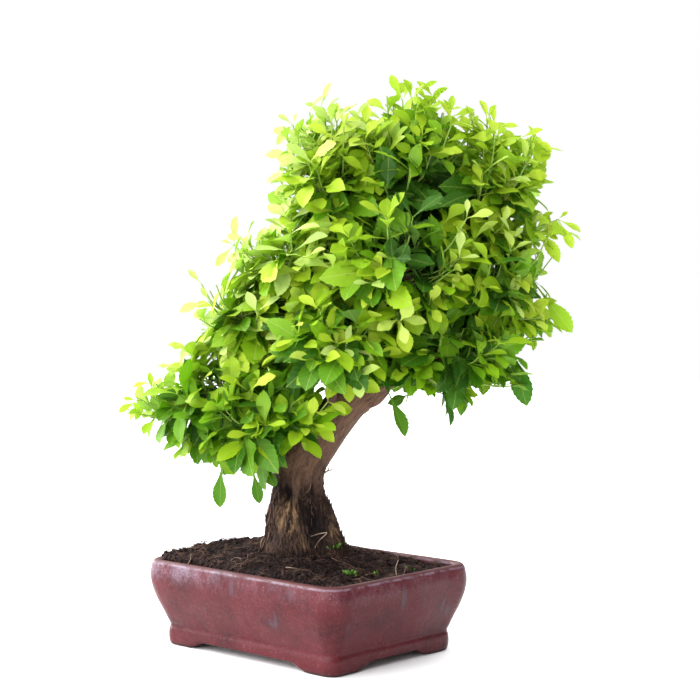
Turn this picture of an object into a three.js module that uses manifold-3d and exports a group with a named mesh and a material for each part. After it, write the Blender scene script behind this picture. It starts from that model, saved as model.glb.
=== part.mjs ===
// Golden dewdrop bonsai (Duranta erecta): a short, thick trunk that forks low and leans, a dense
// crown of leafy shoots, dark potting soil, and a glazed rectangular pot on four corner feet.
// Millimetres, +Z up. The pot's long side runs along X and its short side along Y. The tree is
// laid out in a frame of its own, turned on the pot so that its front faces one corner of the pot:
// there a place is [across, away, up], with across to the right and away to the back.
import * as THREE from "three";
import { mergeVertices } from "three/addons/utils/BufferGeometryUtils.js";
import Module from "manifold-3d";

const wasm = await Module();
wasm.setup();

// Pot: driving sizes.
const POT_LENGTH = 270;
const POT_WIDTH = 212;
const POT_HEIGHT = 88;
const POT_CORNER = 24; // radius of the rim's corners, seen from above
const CORNER_STEPS = 3; // straight steps round each corner
const CORNER_SHRINK = 0.62; // how fast the corners tighten as the outline is drawn in
const LEAST_CORNER = 6;
const FLOOR_TOP = 20; // inside floor of the pot
const FLOOR_UNDERSIDE = 10;
const FOOT_HEIGHT = 8; // clear height of the arches between the feet
const FOOT_WALL = 15; // thickness of the foot ring
const FOOT_INSET = 16.5; // the foot ring stands this far inside the rim
const FOOT_LENGTH = 34; // flat length of a foot along each side, from the pot's corner
const ARCH_SLOPE = 26; // length of the S-shaped rise from foot to arch
const DRAIN_RADIUS = 9;
const DRAIN_SPACING = 110;
const CUT_PAST = 2; // a cutting shape runs this far past the face that it cuts
// The wall outside, from the ground up, then over the rim and down inside: [height, inset].
const WALL_OUTSIDE = [
  [0, FOOT_INSET + 3], [2.5, FOOT_INSET + 0.6], [9, FOOT_INSET - 0.6], [16, FOOT_INSET - 0.3],
  [20.5, FOOT_INSET + 0.9], [25, FOOT_INSET - 0.9], [36, 11], [48, 5.6], [60, 1.8], [72, 0],
  [80, 1], [85.5, 2.4],
];
const WALL_RIM = [[POT_HEIGHT, 4.4], [POT_HEIGHT, 9.2]];
const WALL_INSIDE = [[85.5, 11], [70, 11], [50, 14.6], [32, 22], [FLOOR_TOP, 30]];

// Soil.
const GAP = 0.3; // clearance between touching pieces
const SOIL_AT_WALL = 85.5;
const SOIL_TILT = 5; // the soil is heaped higher on the tree's left by this much
const MOUND_HEIGHT = 16; // rise of the soil round the trunk
const MOUND_REACH = 78;
const SOIL_WALL_TOP = 77; // the soil's side keeps to the pot's wall up to here
const SOIL_RINGS = [0.9, 0.74, 0.58, 0.42, 0.24]; // outlines of its top, as shares of its edge
const SOIL_SIDE_POINTS = 2; // points along each straight side

// Tree: driving sizes.
const TREE_TURN = 42.5; // degrees from the pot's frame to the tree's
const TRUNK_SIDES = 12;
const RIBS_END = 0.38; // the ribs on the trunk's foot fade out at this share of its length
const LEFT_TRUNK_SIDES = 8;
const LIMB_SIDES = 4;
const TWIG_SIDES = 3; // and as many on the green stems
const TRUNK_BURIED = 46; // height of the trunk's foot, hidden in the soil
// The trunk from its foot to the tip of the leader: [across, away, up, radius].
const TRUNK = [
  [-4, 0, TRUNK_BURIED, 33], [-4, 0, 84, 43], [-4.5, 0, 101, 43], [-5.5, 0, 114, 39.5],
  [-7.5, 0, 128, 35.5], [-9, 0, 144, 32], [-9.5, 0, 161, 27.5], [-9, 0, 176, 27.5],
  [-4, 0, 192, 27], [8, -1, 209, 25], [21, -2, 226, 23.2], [37, -3, 245, 22], [56, -2, 265, 20.8],
  [73, 0, 286, 18], [87, 3, 312, 14], [97, 6, 343, 11.4], [102, 7, 381, 9.2],
  [99, 5, 420, 7], [95, 1, 468, 3.6],
];
// The second trunk, which leaves the first at its left shoulder.
const LEFT_TRUNK = [
  [-6, 2, 176, 15], [-17, 0, 196, 16.5], [-31, -3, 221, 13.6], [-43, -5, 249, 11],
  [-51, -6, 279, 8.8], [-55, -7, 307, 6.8], [-50, -8, 336, 4.6], [-40, -12, 362, 3.2],
];

// Leaf pads: the rounded masses of shoots that make up the crown. Each has a name, its green (0 is
// the light one of young leaves in the sun, 2 the dark one of the shaded side), its centre and
// radii, the number of directions in which shoots are tried, and where its limb leaves which trunk.
const PADS = [
  ["crown", 0, [95, 0, 480], [72, 74, 50], 5, "leader", 0.93],
  ["crown_left", 0, [30, -12, 466], [52, 60, 52], 5, "leader", 0.83],
  ["crown_right", 1, [176, 4, 462], [60, 62, 50], 5, "leader", 0.8],
  ["centre_front", 0, [86, -74, 396], [68, 46, 50], 4, "leader", 0.72],
  ["left_mid", 0, [-16, -24, 400], [54, 58, 44], 4, "leader", 0.66],
  ["right_mid", 1, [184, -22, 376], [56, 58, 44], 4, "leader", 0.62],
  ["left_shoulder", 0, [-64, -4, 338], [54, 58, 40], 4, "left", 0.86],
  ["low_left", 0, [-94, -8, 262], [60, 58, 40], 5, "left", 0.52],
  ["low_front", 1, [-36, -56, 236], [50, 42, 36], 4, "left", 0.36],
  ["low_centre", 0, [30, -70, 320], [56, 42, 38], 4, "leader", 0.56],
  ["low_right", 2, [146, -34, 308], [68, 54, 38], 4, "leader", 0.58],
  ["back_top", 1, [78, 72, 420], [74, 50, 58], 3, "leader", 0.76],
  ["back_left", 1, [-44, 62, 330], [58, 50, 46], 4, "left", 0.72],
  ["back_right", 2, [150, 76, 346], [64, 50, 50], 4, "leader", 0.6],
].map(([name, tone, centre, radii, tries, trunk, fork]) =>
  ({ name, tone, centre, radii, tries, trunk, fork }));
// Long young shoots that stand out of the crown: pad, then the tip, as [across, away, up].
const STRAYS = [
  ["crown", [86, -20, 550]],
  ["crown_left", [30, -10, 532]],
  ["crown_left", [-8, -20, 508]],
  ["left_mid", [-64, -44, 404]],
  ["left_shoulder", [-84, -10, 356]],
  ["low_left", [-158, -14, 256]],
  ["low_left", [-84, -22, 178]],
  ["crown_right", [214, -8, 492]],
  ["right_mid", [240, -24, 416]],
  ["low_right", [198, -30, 268]],
  ["low_right", [242, -4, 330]],
  ["low_right", [124, -44, 272]],
  ["crown_right", [182, -26, 512]],
];
const TWIG_ROOTS = [0.6, 0.99]; // the stretch of a limb, as shares of it, where its twigs leave it
const TWIG_START = 0.3; // the woody share of a shoot's length, before it turns green
const SHOOT_RISE = 0.22; // a shoot sets off this much flatter than its tip lies, then turns up
const LOWEST_SLOPE = -0.5; // directions that point down more steeply than this are left out
const BURIED = 0.97; // a tip nearer than this to another pad's centre, as a share of its radii, is left out
const PAD_SPIN = 1.7; // each pad's directions are turned by this, in radians, from the last one's
const SHOOT_PAIRS = 3; // opposite leaf pairs on each shoot
const FIRST_PAIR = 0.24; // share of the stem's length at which the first pair stands
const LAST_PAIR = 0.97;
const SHOOT_RADIUS = [2.1, 1.5]; // at its start and at its tip
const TWIG_RADIUS = 2.3;
const LIMB_RADIUS = 6.5; // where a limb leaves its trunk, but no more than LIMB_SHARE of the trunk's
const LIMB_SHARE = 0.62;
const LIMB_END_RADIUS = 4.1;
const LIMB_ARCH = 0.1; // rise of a limb's middle, as a share of its length
const HUB_DROP = 0.3; // a limb ends this share of its pad's height under the pad's centre
const CROWN_MIDDLE = [70, 0]; // across and away: leaves lean their faces outwards from here

// Leaf: an obovate blade with coarse teeth towards its tip.
const LEAF_LONGEST = 56;
const LEAF_SHORTEST = 36;
const LEAF_THICKNESS = 0.75;
const LEAF_SPREAD = [66, 40]; // degrees from the stem's heading, at the stem's start and its tip
const LEAF_FOLD = 0.3; // rise of the blade's sides on either side of the midrib
const LEAF_BEND = 0.22; // fall of the tip, as a share of the length
// The toothed edge: [share of the length, half width as a share of the length], stalk to tip.
const LEAF_EDGE = [[0.56, 0.25], [0.65, 0.195], [0.8, 0.165]];
const LEAF_BEND_AT = 0.52; // where the midrib bends
const LEAF_ROOT = 0.35; // a leaf starts this far from the middle of its stem
const SEED = 4217;

// Small tools.
const UP = new THREE.Vector3(0, 0, 1);
const vector = (place) => new THREE.Vector3(place[0], place[1], place[2]);
const mix = (a, b, share) => a + (b - a) * share;
const radians = THREE.MathUtils.degToRad;

// Even draws between 0 and 1 that are the same on every run.
class Draws {
  constructor(seed) {
    this.state = seed;
  }
  next() {
    this.state = (this.state * 16807) % 2147483647;
    return this.state / 2147483647;
  }
  between(low, high) {
    return low + (high - low) * this.next();
  }
}

function geometryOf(points, triangles) {
  const geometry = new THREE.BufferGeometry();
  geometry.setAttribute("position", new THREE.Float32BufferAttribute(points, 3));
  geometry.setIndex(triangles);
  return geometry;
}

function solidOf(geometry) {
  const plain = geometry.clone();
  plain.deleteAttribute("normal");
  plain.deleteAttribute("uv");
  const merged = mergeVertices(plain, 1e-4);
  return new wasm.Manifold(new wasm.Mesh({
    numProp: 3,
    vertProperties: merged.attributes.position.array,
    triVerts: new Uint32Array(merged.index.array),
  }));
}

function meshOf(solid, name, material) {
  const made = solid.getMesh();
  const geometry = geometryOf(Array.from(made.vertProperties), Array.from(made.triVerts));
  const mesh = new THREE.Mesh(geometry, material);
  mesh.name = name;
  return mesh;
}

// A closed skin through rings of points, all with the same count, flat at both ends.
function loft(rings) {
  const count = rings[0].length;
  const points = rings.flat().flatMap((p) => [p.x, p.y, p.z]);
  const triangles = [];
  for (let ring = 0; ring + 1 < rings.length; ring++) {
    for (let side = 0; side < count; side++) {
      const next = (side + 1) % count;
      const [a, b] = [ring * count + side, ring * count + next];
      triangles.push(a, b, b + count, a, b + count, a + count);
    }
  }
  const last = (rings.length - 1) * count;
  for (let side = 1; side + 1 < count; side++) {
    triangles.push(0, side + 1, side);
    triangles.push(last, last + side, last + side + 1);
  }
  return geometryOf(points, triangles);
}

// A round bar along a curve. radius gives its size at each share of the way.
function bar(curve, radius, sides, steps, shape = () => 1) {
  const rings = [];
  const across = new THREE.Vector3();
  for (let step = 0; step <= steps; step++) {
    const share = step / steps;
    const heading = curve.getTangent(share);
    if (step === 0) across.crossVectors(Math.abs(heading.y) < 0.9 ? new THREE.Vector3(0, 1, 0) : UP, heading);
    across.addScaledVector(heading, -across.dot(heading)).normalize();
    const other = new THREE.Vector3().crossVectors(heading, across);
    const centre = curve.getPoint(share);
    rings.push(Array.from({ length: sides }, (_, side) => {
      const angle = (2 * Math.PI * side) / sides;
      const reach = radius(share) * shape(angle, share);
      return centre.clone()
        .addScaledVector(across, Math.cos(angle) * reach)
        .addScaledVector(other, Math.sin(angle) * reach);
    }));
  }
  return loft(rings);
}

// Pot.
// A rectangle with round corners, anticlockwise seen from above, drawn in from the widest outline.
// between is the number of points added along each straight side.
function potOutline(inset, height, between = 0) {
  const corner = Math.max(POT_CORNER - CORNER_SHRINK * inset, LEAST_CORNER);
  const halfLength = POT_LENGTH / 2 - inset - corner;
  const halfWidth = POT_WIDTH / 2 - inset - corner;
  const outline = [];
  for (const [sx, sy, start] of [[1, 1, 0], [-1, 1, 90], [-1, -1, 180], [1, -1, 270]]) {
    for (let step = 0; step <= CORNER_STEPS; step++) {
      const angle = radians(start + (90 * step) / CORNER_STEPS);
      outline.push(new THREE.Vector3(
        sx * halfLength + corner * Math.cos(angle), sy * halfWidth + corner * Math.sin(angle), height));
    }
  }
  return outline.flatMap((point, index) => {
    const next = outline[(index + 1) % outline.length];
    const added = index % (CORNER_STEPS + 1) === CORNER_STEPS ? between : 0;
    return Array.from({ length: added + 1 }, (_, part) => point.clone().lerp(next, part / (added + 1)));
  });
}

// The opening between two feet, as long as side, cut right through the foot ring.
function footArch(side, through) {
  const foot = side / 2 - FOOT_INSET - FOOT_LENGTH;
  const top = foot - ARCH_SLOPE;
  const turning = foot - ARCH_SLOPE / 2;
  const arch = new THREE.Shape();
  arch.moveTo(-foot, -CUT_PAST);
  arch.lineTo(-foot, 0);
  arch.bezierCurveTo(-turning, 0, -turning, FOOT_HEIGHT, -top, FOOT_HEIGHT);
  arch.lineTo(top, FOOT_HEIGHT);
  arch.bezierCurveTo(turning, FOOT_HEIGHT, turning, 0, foot, 0);
  arch.lineTo(foot, -CUT_PAST);
  const depth = through + 2 * CUT_PAST;
  const cut = new THREE.ExtrudeGeometry(arch, { depth, bevelEnabled: false, curveSegments: 4 });
  return cut.translate(0, 0, -depth / 2).rotateX(Math.PI / 2);
}

function makePot() {
  const profile = [...WALL_OUTSIDE, ...WALL_RIM, ...WALL_INSIDE];
  const body = solidOf(loft(profile.map(([height, inset]) => potOutline(inset, height))));
  const ring = FOOT_INSET + FOOT_WALL;
  const recess = solidOf(loft([potOutline(ring, -CUT_PAST), potOutline(ring, FLOOR_UNDERSIDE)]));
  const longArch = solidOf(footArch(POT_LENGTH, POT_WIDTH));
  const shortArch = solidOf(footArch(POT_WIDTH, POT_LENGTH).rotateZ(Math.PI / 2));
  const drains = [-1, 1].map((side) => {
    const hole = new THREE.CylinderGeometry(DRAIN_RADIUS, DRAIN_RADIUS, FLOOR_TOP + 2 * CUT_PAST, 12);
    return solidOf(hole.rotateX(Math.PI / 2).translate((side * DRAIN_SPACING) / 2, 0, FLOOR_TOP / 2));
  });
  return [recess, longArch, shortArch, ...drains].reduce((pot, cut) => pot.subtract(cut), body);
}

// Soil.
// Places on the pot in the tree's own frame, and back.
const turn = radians(TREE_TURN);
const acrossOf = (x, y) => x * Math.cos(turn) + y * Math.sin(turn);
const awayOf = (x, y) => y * Math.cos(turn) - x * Math.sin(turn);

function soilHeight(x, y) {
  const across = acrossOf(x, y);
  const away = awayOf(x, y);
  const fromTrunk = Math.hypot(across - TRUNK[1][0], away - TRUNK[1][1]) / MOUND_REACH;
  const clods = 1.3 * Math.sin(0.11 * x + 1.3) * Math.sin(0.13 * y + 0.4)
    + 0.8 * Math.sin(0.23 * x - 0.17 * y);
  const heaped = (-SOIL_TILT * across) / (POT_LENGTH / 2);
  return SOIL_AT_WALL + heaped + MOUND_HEIGHT * Math.exp(-fromTrunk * fromTrunk) + clods;
}

function makeSoil(trunkHole) {
  const outline = (inset, height) => potOutline(inset + GAP, height, SOIL_SIDE_POINTS);
  const side = WALL_INSIDE.filter(([height]) => height < SOIL_WALL_TOP).reverse();
  const rings = side.map(([height, inset], level) => outline(inset, level === 0 ? height + GAP : height));
  const edge = outline(WALL_INSIDE[0][1], SOIL_WALL_TOP);
  rings.push(edge);
  for (const share of [1, ...SOIL_RINGS]) {
    rings.push(edge.map((place) => {
      const [x, y] = [place.x * share, place.y * share];
      const highest = share === 1 ? POT_HEIGHT - 2 : Infinity;
      return new THREE.Vector3(x, y, Math.min(soilHeight(x, y), highest));
    }));
  }
  return solidOf(loft(rings)).subtract(trunkHole);
}

// Wood: trunk, limbs and twigs, grown as one piece.
const pathOf = (stations) => new THREE.CatmullRomCurve3(stations.map(vector));

function radiusAlong(stations) {
  const last = stations.length - 1;
  return (share) => {
    const at = Math.min(Math.floor(share * last), last - 1);
    return mix(stations[at][3], stations[at + 1][3], share * last - at);
  };
}

// The foot of the trunk is ribbed by its roots, and the ribs fade out up the trunk.
function rootRibs(angle, share) {
  const ribs = 0.08 * Math.cos(3 * angle + 0.6) + 0.06 * Math.cos(5 * angle + 2.1);
  return 1 + ribs * Math.max(0, 1 - share / RIBS_END);
}

const trunkPaths = { leader: pathOf(TRUNK), left: pathOf(LEFT_TRUNK) };
const trunkRadii = { leader: radiusAlong(TRUNK), left: radiusAlong(LEFT_TRUNK) };

function trunkGeometry(clearance) {
  const radius = (share) => trunkRadii.leader(share) + clearance;
  return bar(trunkPaths.leader, radius, TRUNK_SIDES, TRUNK.length - 1, rootRibs);
}

function limbOf(pad) {
  const start = trunkPaths[pad.trunk].getPoint(pad.fork);
  const hub = vector(pad.centre);
  hub.z -= pad.radii[2] * HUB_DROP;
  const middle = start.clone().lerp(hub, 0.55);
  middle.z += start.distanceTo(hub) * LIMB_ARCH;
  const curve = new THREE.QuadraticBezierCurve3(start, middle, hub);
  const thick = Math.min(trunkRadii[pad.trunk](pad.fork) * LIMB_SHARE, LIMB_RADIUS);
  return { curve, thick };
}

// Shoots.
const insidePad = (place, pad) => Math.hypot(
  (place.x - pad.centre[0]) / pad.radii[0],
  (place.y - pad.centre[1]) / pad.radii[1],
  (place.z - pad.centre[2]) / pad.radii[2],
);

// Directions spread evenly over a ball, by the golden angle.
function direction(index, count, spin) {
  const rise = 1 - (2 * (index + 0.5)) / count;
  const flat = Math.sqrt(1 - rise * rise);
  const angle = index * Math.PI * (3 - Math.sqrt(5)) + spin;
  return new THREE.Vector3(flat * Math.cos(angle), flat * Math.sin(angle), rise);
}

// Every shoot as the twig that carries it and the green stem that goes on from it.
function planShoots() {
  const plans = [];
  PADS.forEach((pad, order) => {
    const centre = vector(pad.centre);
    const radii = vector(pad.radii);
    for (let index = 0; index < pad.tries; index++) {
      const heading = direction(index, pad.tries, order * PAD_SPIN);
      const tip = heading.clone().multiply(radii).add(centre);
      const buried = PADS.some((other) => other !== pad && insidePad(tip, other) < BURIED);
      if (heading.z < LOWEST_SLOPE || buried) continue;
      plans.push({ pad, tip });
    }
  });
  for (const [name, tip] of STRAYS) {
    plans.push({ pad: PADS.find((pad) => pad.name === name), tip: vector(tip) });
  }
  return plans.map((plan, number) => {
    const limb = limbOf(plan.pad).curve;
    const onward = plan.tip.clone().sub(limb.getPoint(1)).normalize().dot(limb.getTangent(1));
    const root = limb.getPoint(mix(TWIG_ROOTS[0], TWIG_ROOTS[1], (onward + 1) / 2));
    const aim = plan.tip.clone();
    aim.z -= SHOOT_RISE * root.distanceTo(plan.tip);
    const start = root.clone().lerp(aim, TWIG_START);
    const heading = start.clone().sub(root).normalize();
    const bend = start.clone().addScaledVector(heading, 0.5 * start.distanceTo(plan.tip));
    return { ...plan, root, start, bend, number };
  });
}

// The stem runs straight on from its twig, and has one bend, halfway.
const stemPlace = (shoot, share) => share < 0.5
  ? shoot.start.clone().lerp(shoot.bend, share * 2)
  : shoot.bend.clone().lerp(shoot.tip, share * 2 - 1);
const stemHeading = (shoot, share) => share < 0.5
  ? shoot.bend.clone().sub(shoot.start).normalize()
  : shoot.tip.clone().sub(shoot.bend).normalize();

// The leaves of one shoot: where each starts, which way it points and faces, and how long it is.
function leavesOf(shoot) {
  const draws = new Draws(SEED + 97 * shoot.number);
  const leaves = [];
  const outward = shoot.tip.clone().sub(vector([...CROWN_MIDDLE, 0])).setZ(0).normalize();
  for (let pair = 0; pair < SHOOT_PAIRS; pair++) {
    const share = mix(FIRST_PAIR, LAST_PAIR, pair / (SHOOT_PAIRS - 1));
    const at = stemPlace(shoot, share);
    const heading = stemHeading(shoot, share);
    const side = new THREE.Vector3().crossVectors(heading, UP).normalize();
    const over = new THREE.Vector3().crossVectors(side, heading);
    for (const half of [0, 1]) {
      const roll = Math.PI * (0.5 * (pair % 2) + half) + draws.between(-0.45, 0.45);
      const spread = radians(mix(LEAF_SPREAD[0], LEAF_SPREAD[1], share) + draws.between(-9, 9));
      const axis = heading.clone().multiplyScalar(Math.cos(spread))
        .addScaledVector(side, Math.cos(roll) * Math.sin(spread))
        .addScaledVector(over, Math.sin(roll) * Math.sin(spread));
      axis.z -= draws.between(0.1, 0.4) * (1.2 - share);
      axis.normalize();
      const face = UP.clone().addScaledVector(outward, draws.between(0.1, 0.7));
      face.x += draws.between(-0.3, 0.3);
      face.y += draws.between(-0.3, 0.3);
      face.addScaledVector(axis, -face.dot(axis)).normalize();
      const length = mix(LEAF_LONGEST, LEAF_SHORTEST, share) * draws.between(0.82, 1.14);
      leaves.push({ at: at.clone().addScaledVector(axis, LEAF_ROOT), axis, face, length });
    }
  }
  return leaves;
}

// One blade, as thick as given all over. Both faces are split into the same triangles.
function leafSolid(leaf, thickness, widen) {
  const right = new THREE.Vector3().crossVectors(leaf.axis, leaf.face);
  const place = (along, across, lift) => {
    const fall = -LEAF_BEND * along * along * leaf.length + LEAF_FOLD * Math.abs(across);
    return leaf.at.clone()
      .addScaledVector(leaf.axis, along * leaf.length)
      .addScaledVector(right, across)
      .addScaledVector(leaf.face, fall + lift);
  };
  const half = LEAF_EDGE.map(([along, reach]) => [along, reach * leaf.length + widen]);
  const outline = [[0, 0], ...half, [1, 0], ...half.map(([along, reach]) => [along, -reach]).reverse()];
  const face = [...outline, [LEAF_BEND_AT, 0]];
  const count = face.length;
  const points = [thickness / 2, -thickness / 2].flatMap((lift) =>
    face.flatMap(([along, across]) => place(along, across, lift).toArray()));
  const triangles = [];
  outline.forEach((_, corner) => {
    const next = (corner + 1) % outline.length;
    const bend = outline.length;
    triangles.push(corner, next, bend);
    triangles.push(next + count, corner + count, bend + count);
    triangles.push(next, corner, next + count, next + count, corner, corner + count);
  });
  return solidOf(geometryOf(points, triangles));
}

const overlaps = (a, b) => {
  const [p, q] = [a.boundingBox(), b.boundingBox()];
  const apart = [0, 1, 2].some((axis) => p.min[axis] > q.max[axis] || q.min[axis] > p.max[axis]);
  return !apart && !a.intersect(b).isEmpty();
};

const stemRadius = (share) => mix(SHOOT_RADIUS[0], SHOOT_RADIUS[1], share);

// The stem starts a hair off the end of its twig.
function stemSolid(shoot, clearance) {
  const from = shoot.start.clone().addScaledVector(stemHeading(shoot, 0), GAP);
  const path = new THREE.CurvePath();
  path.add(new THREE.LineCurve3(from, shoot.bend));
  path.add(new THREE.LineCurve3(shoot.bend, shoot.tip));
  return solidOf(bar(path, (share) => stemRadius(share) + clearance, TWIG_SIDES, 2));
}

function makeWood(shoots) {
  const left = bar(trunkPaths.left, trunkRadii.left, LEFT_TRUNK_SIDES, LEFT_TRUNK.length - 1);
  let wood = solidOf(trunkGeometry(0)).add(solidOf(left));
  for (const pad of PADS) {
    const { curve, thick } = limbOf(pad);
    wood = wood.add(solidOf(bar(curve, (share) => mix(thick, LIMB_END_RADIUS, share), LIMB_SIDES, 3)));
  }
  for (const shoot of shoots) {
    const twig = new THREE.LineCurve3(shoot.root, shoot.start);
    wood = wood.add(solidOf(bar(twig, () => TWIG_RADIUS, TWIG_SIDES, 1)));
  }
  return wood;
}

// Materials.
const finish = (color, roughness, metalness = 0) =>
  new THREE.MeshStandardMaterial({ color, roughness, metalness });
const glaze = finish(0x6e2f35, 0.35);
const peat = finish(0x2a1f1a, 0.95);
const bark = finish(0x6b5344, 0.85);
const greens = [finish(0x9cc227, 0.5), finish(0x76a826, 0.5), finish(0x4f8424, 0.5)];

// Assembly.
const shoots = planShoots();
const wood = makeWood(shoots);

// A stem or a leaf that would touch the wood or another shoot is left off.
const sprays = [];
for (const shoot of shoots) {
  const stem = stemSolid(shoot, 0);
  const room = stemSolid(shoot, GAP);
  const blocked = overlaps(stem, wood) || sprays.some((other) => overlaps(room, other.solid));
  if (!blocked) sprays.push({ shoot, solid: stem });
}
for (const spray of sprays) {
  const others = sprays.filter((other) => other !== spray);
  for (const leaf of leavesOf(spray.shoot)) {
    const room = leafSolid(leaf, LEAF_THICKNESS + 2 * GAP, GAP);
    const blocked = overlaps(room, wood) || others.some((other) => overlaps(room, other.solid));
    if (!blocked) spray.solid = spray.solid.add(leafSolid(leaf, LEAF_THICKNESS, 0));
  }
}

const tree = new THREE.Group();
tree.rotation.z = turn;
tree.add(meshOf(wood, "trunk_and_branches", bark));
sprays.forEach(({ shoot, solid }, order) => {
  const name = `shoot_${String(order + 1).padStart(2, "0")}`;
  tree.add(meshOf(solid, name, greens[shoot.pad.tone]));
});

const trunkHole = solidOf(trunkGeometry(GAP).rotateZ(turn));
const bonsai = new THREE.Group();
bonsai.add(meshOf(makePot(), "pot", glaze), meshOf(makeSoil(trunkHole), "soil", peat), tree);

// The origin is the middle of the whole bonsai's footprint, at the height of the pot's feet.
const box = new THREE.Box3().setFromObject(bonsai, true);
bonsai.position.set(-(box.min.x + box.max.x) / 2, -(box.min.y + box.max.y) / 2, -box.min.z);

export default bonsai;
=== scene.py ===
# Golden dewdrop bonsai (Duranta erecta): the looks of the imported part. Blender 4.5.
# Sizes are in millimetres until a mesh is written, which is in metres in the row's frame.
import math
from collections import namedtuple

import bmesh
import bpy
import numpy as np
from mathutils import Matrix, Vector, kdtree, noise


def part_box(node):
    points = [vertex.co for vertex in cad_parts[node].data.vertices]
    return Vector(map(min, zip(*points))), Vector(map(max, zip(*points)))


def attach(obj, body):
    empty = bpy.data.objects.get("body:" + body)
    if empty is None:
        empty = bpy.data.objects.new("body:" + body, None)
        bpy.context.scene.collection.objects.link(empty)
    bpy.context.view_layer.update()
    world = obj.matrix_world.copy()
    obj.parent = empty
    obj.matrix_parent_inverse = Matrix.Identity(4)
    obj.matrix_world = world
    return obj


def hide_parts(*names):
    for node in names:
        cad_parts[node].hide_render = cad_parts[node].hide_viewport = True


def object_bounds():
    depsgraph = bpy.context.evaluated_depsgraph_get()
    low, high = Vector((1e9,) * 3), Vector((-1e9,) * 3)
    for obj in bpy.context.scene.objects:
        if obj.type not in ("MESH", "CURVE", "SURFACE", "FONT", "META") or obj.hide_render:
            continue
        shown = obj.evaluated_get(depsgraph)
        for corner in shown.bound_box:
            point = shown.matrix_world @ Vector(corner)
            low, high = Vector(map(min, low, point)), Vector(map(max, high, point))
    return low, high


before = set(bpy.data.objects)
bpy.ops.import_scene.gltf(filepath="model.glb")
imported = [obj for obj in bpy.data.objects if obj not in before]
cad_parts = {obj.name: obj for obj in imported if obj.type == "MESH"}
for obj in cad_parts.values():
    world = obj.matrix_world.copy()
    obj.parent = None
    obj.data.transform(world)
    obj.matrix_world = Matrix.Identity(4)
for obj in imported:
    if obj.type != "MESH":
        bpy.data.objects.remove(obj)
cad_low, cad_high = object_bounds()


# The pot: stoneware pressed in a mould, a rounded rectangle that bellies out under its rim and
# stands on four corner feet. It wears an oxblood glaze, thin and brown on the edges, with pale
# specks, a few slate drips, and lime scale from watering under the rim; along the outer lip a pale
# patchy band is partly worn scale and partly a painted highlight.
MM = 0.001
POT_LENGTH, POT_WIDTH = 270, 212
POT_CORNER, CORNER_SHRINK, LEAST_CORNER = 24, 0.62, 6
CORNER_STEPS, LONG_POINTS, SHORT_POINTS = 12, 62, 46
FOOT_INSET, FOOT_LENGTH, ARCH_SLOPE, ARCH_HEIGHT = 16.5, 34, 26, 8
FOOT_WALL, FOOT_INNER_TOP, FOOT_EDGE, SOLE_INSET = 15, 8.6, 1.2, 25
FOOT_TOP = 9  # up to here the wall follows the arches
FLOOR_UNDERSIDE, FLOOR_TOP, FLOOR_INSET = 10, 20, 30
FLOOR_RINGS = (0.05, 0.35, 0.7)  # the floor's rings of points, as shares of its outline
DRAIN_RADIUS, DRAIN_SPACING, DRAIN_SIDES, DRAIN_CUT = 9, 110, 32, (5, 25)
WOBBLE, WOBBLE_WAVE, WOBBLE_FULL_AT = 0.45, 60, 30  # pressed clay is never quite true
PROFILE_STEPS = 5
CRISP_FROM = math.radians(50)  # edges that turn more than this stay crisp
# The wall from the ground up, over the rim and down inside: height and inset.
POT_WALL = [
    (0, 19.5), (0.9, 17.9), (2.8, 16.9), (9, 15.9), (16, 16.2), (20.5, 17.4), (25, 15.6), (36, 11),
    (48, 5.6), (60, 1.8), (72, 0), (80, 0.8), (85.2, 2.2), (87.7, 4.4), (87.9, 8.6), (85.9, 11),
    (78, 11), (70, 11), (50, 14.6), (32, 22), (FLOOR_TOP, FLOOR_INSET),
]
low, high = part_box("pot")
POT_MIDDLE = np.array([(low[0] + high[0]) / 2, (low[1] + high[1]) / 2, 0]) / MM


def through(points, steps):
    """A smooth row of points through the given ones, with steps points to each stretch."""
    p = np.array(points, float)
    p = np.vstack([2 * p[0] - p[1], p, 2 * p[-1] - p[-2]])
    gap = np.maximum(np.linalg.norm(np.diff(p, axis=0), axis=1) ** 0.5, 1e-4)
    rows = []
    for i in range(1, len(p) - 2):
        a, b, c = gap[i - 1], gap[i], gap[i + 1]
        out = ((p[i] - p[i - 1]) / a - (p[i + 1] - p[i - 1]) / (a + b) + (p[i + 1] - p[i]) / b) * b
        into = ((p[i + 1] - p[i]) / b - (p[i + 2] - p[i]) / (b + c) + (p[i + 2] - p[i + 1]) / c) * b
        for t in np.arange(steps) / steps:
            rows.append(
                p[i] + out * t + (3 * (p[i + 1] - p[i]) - 2 * out - into) * t**2
                + (2 * (p[i] - p[i + 1]) + out + into) * t**3
            )
    return np.array(rows + [p[-2]])


def pot_outline(inset):
    """A rectangle with round corners, anticlockwise seen from above, inset from the widest one."""
    corner = max(POT_CORNER - CORNER_SHRINK * inset, LEAST_CORNER)
    half = POT_LENGTH / 2 - inset - corner, POT_WIDTH / 2 - inset - corner
    arcs = []
    for sx, sy, start in ((1, 1, 0), (-1, 1, 90), (-1, -1, 180), (1, -1, 270)):
        turn = np.radians(start + np.linspace(0, 90, CORNER_STEPS + 1))
        across = sx * half[0] + corner * np.cos(turn)
        arcs.append(np.column_stack([across, sy * half[1] + corner * np.sin(turn)]))
    rows = []
    for i, arc in enumerate(arcs):
        between = (LONG_POINTS, SHORT_POINTS)[i % 2]
        share = np.linspace(0, 1, between + 2)[1:-1, None]
        rows += [arc, arc[-1] * (1 - share) + arcs[(i + 1) % 4][0] * share]
    return np.vstack(rows)


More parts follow.
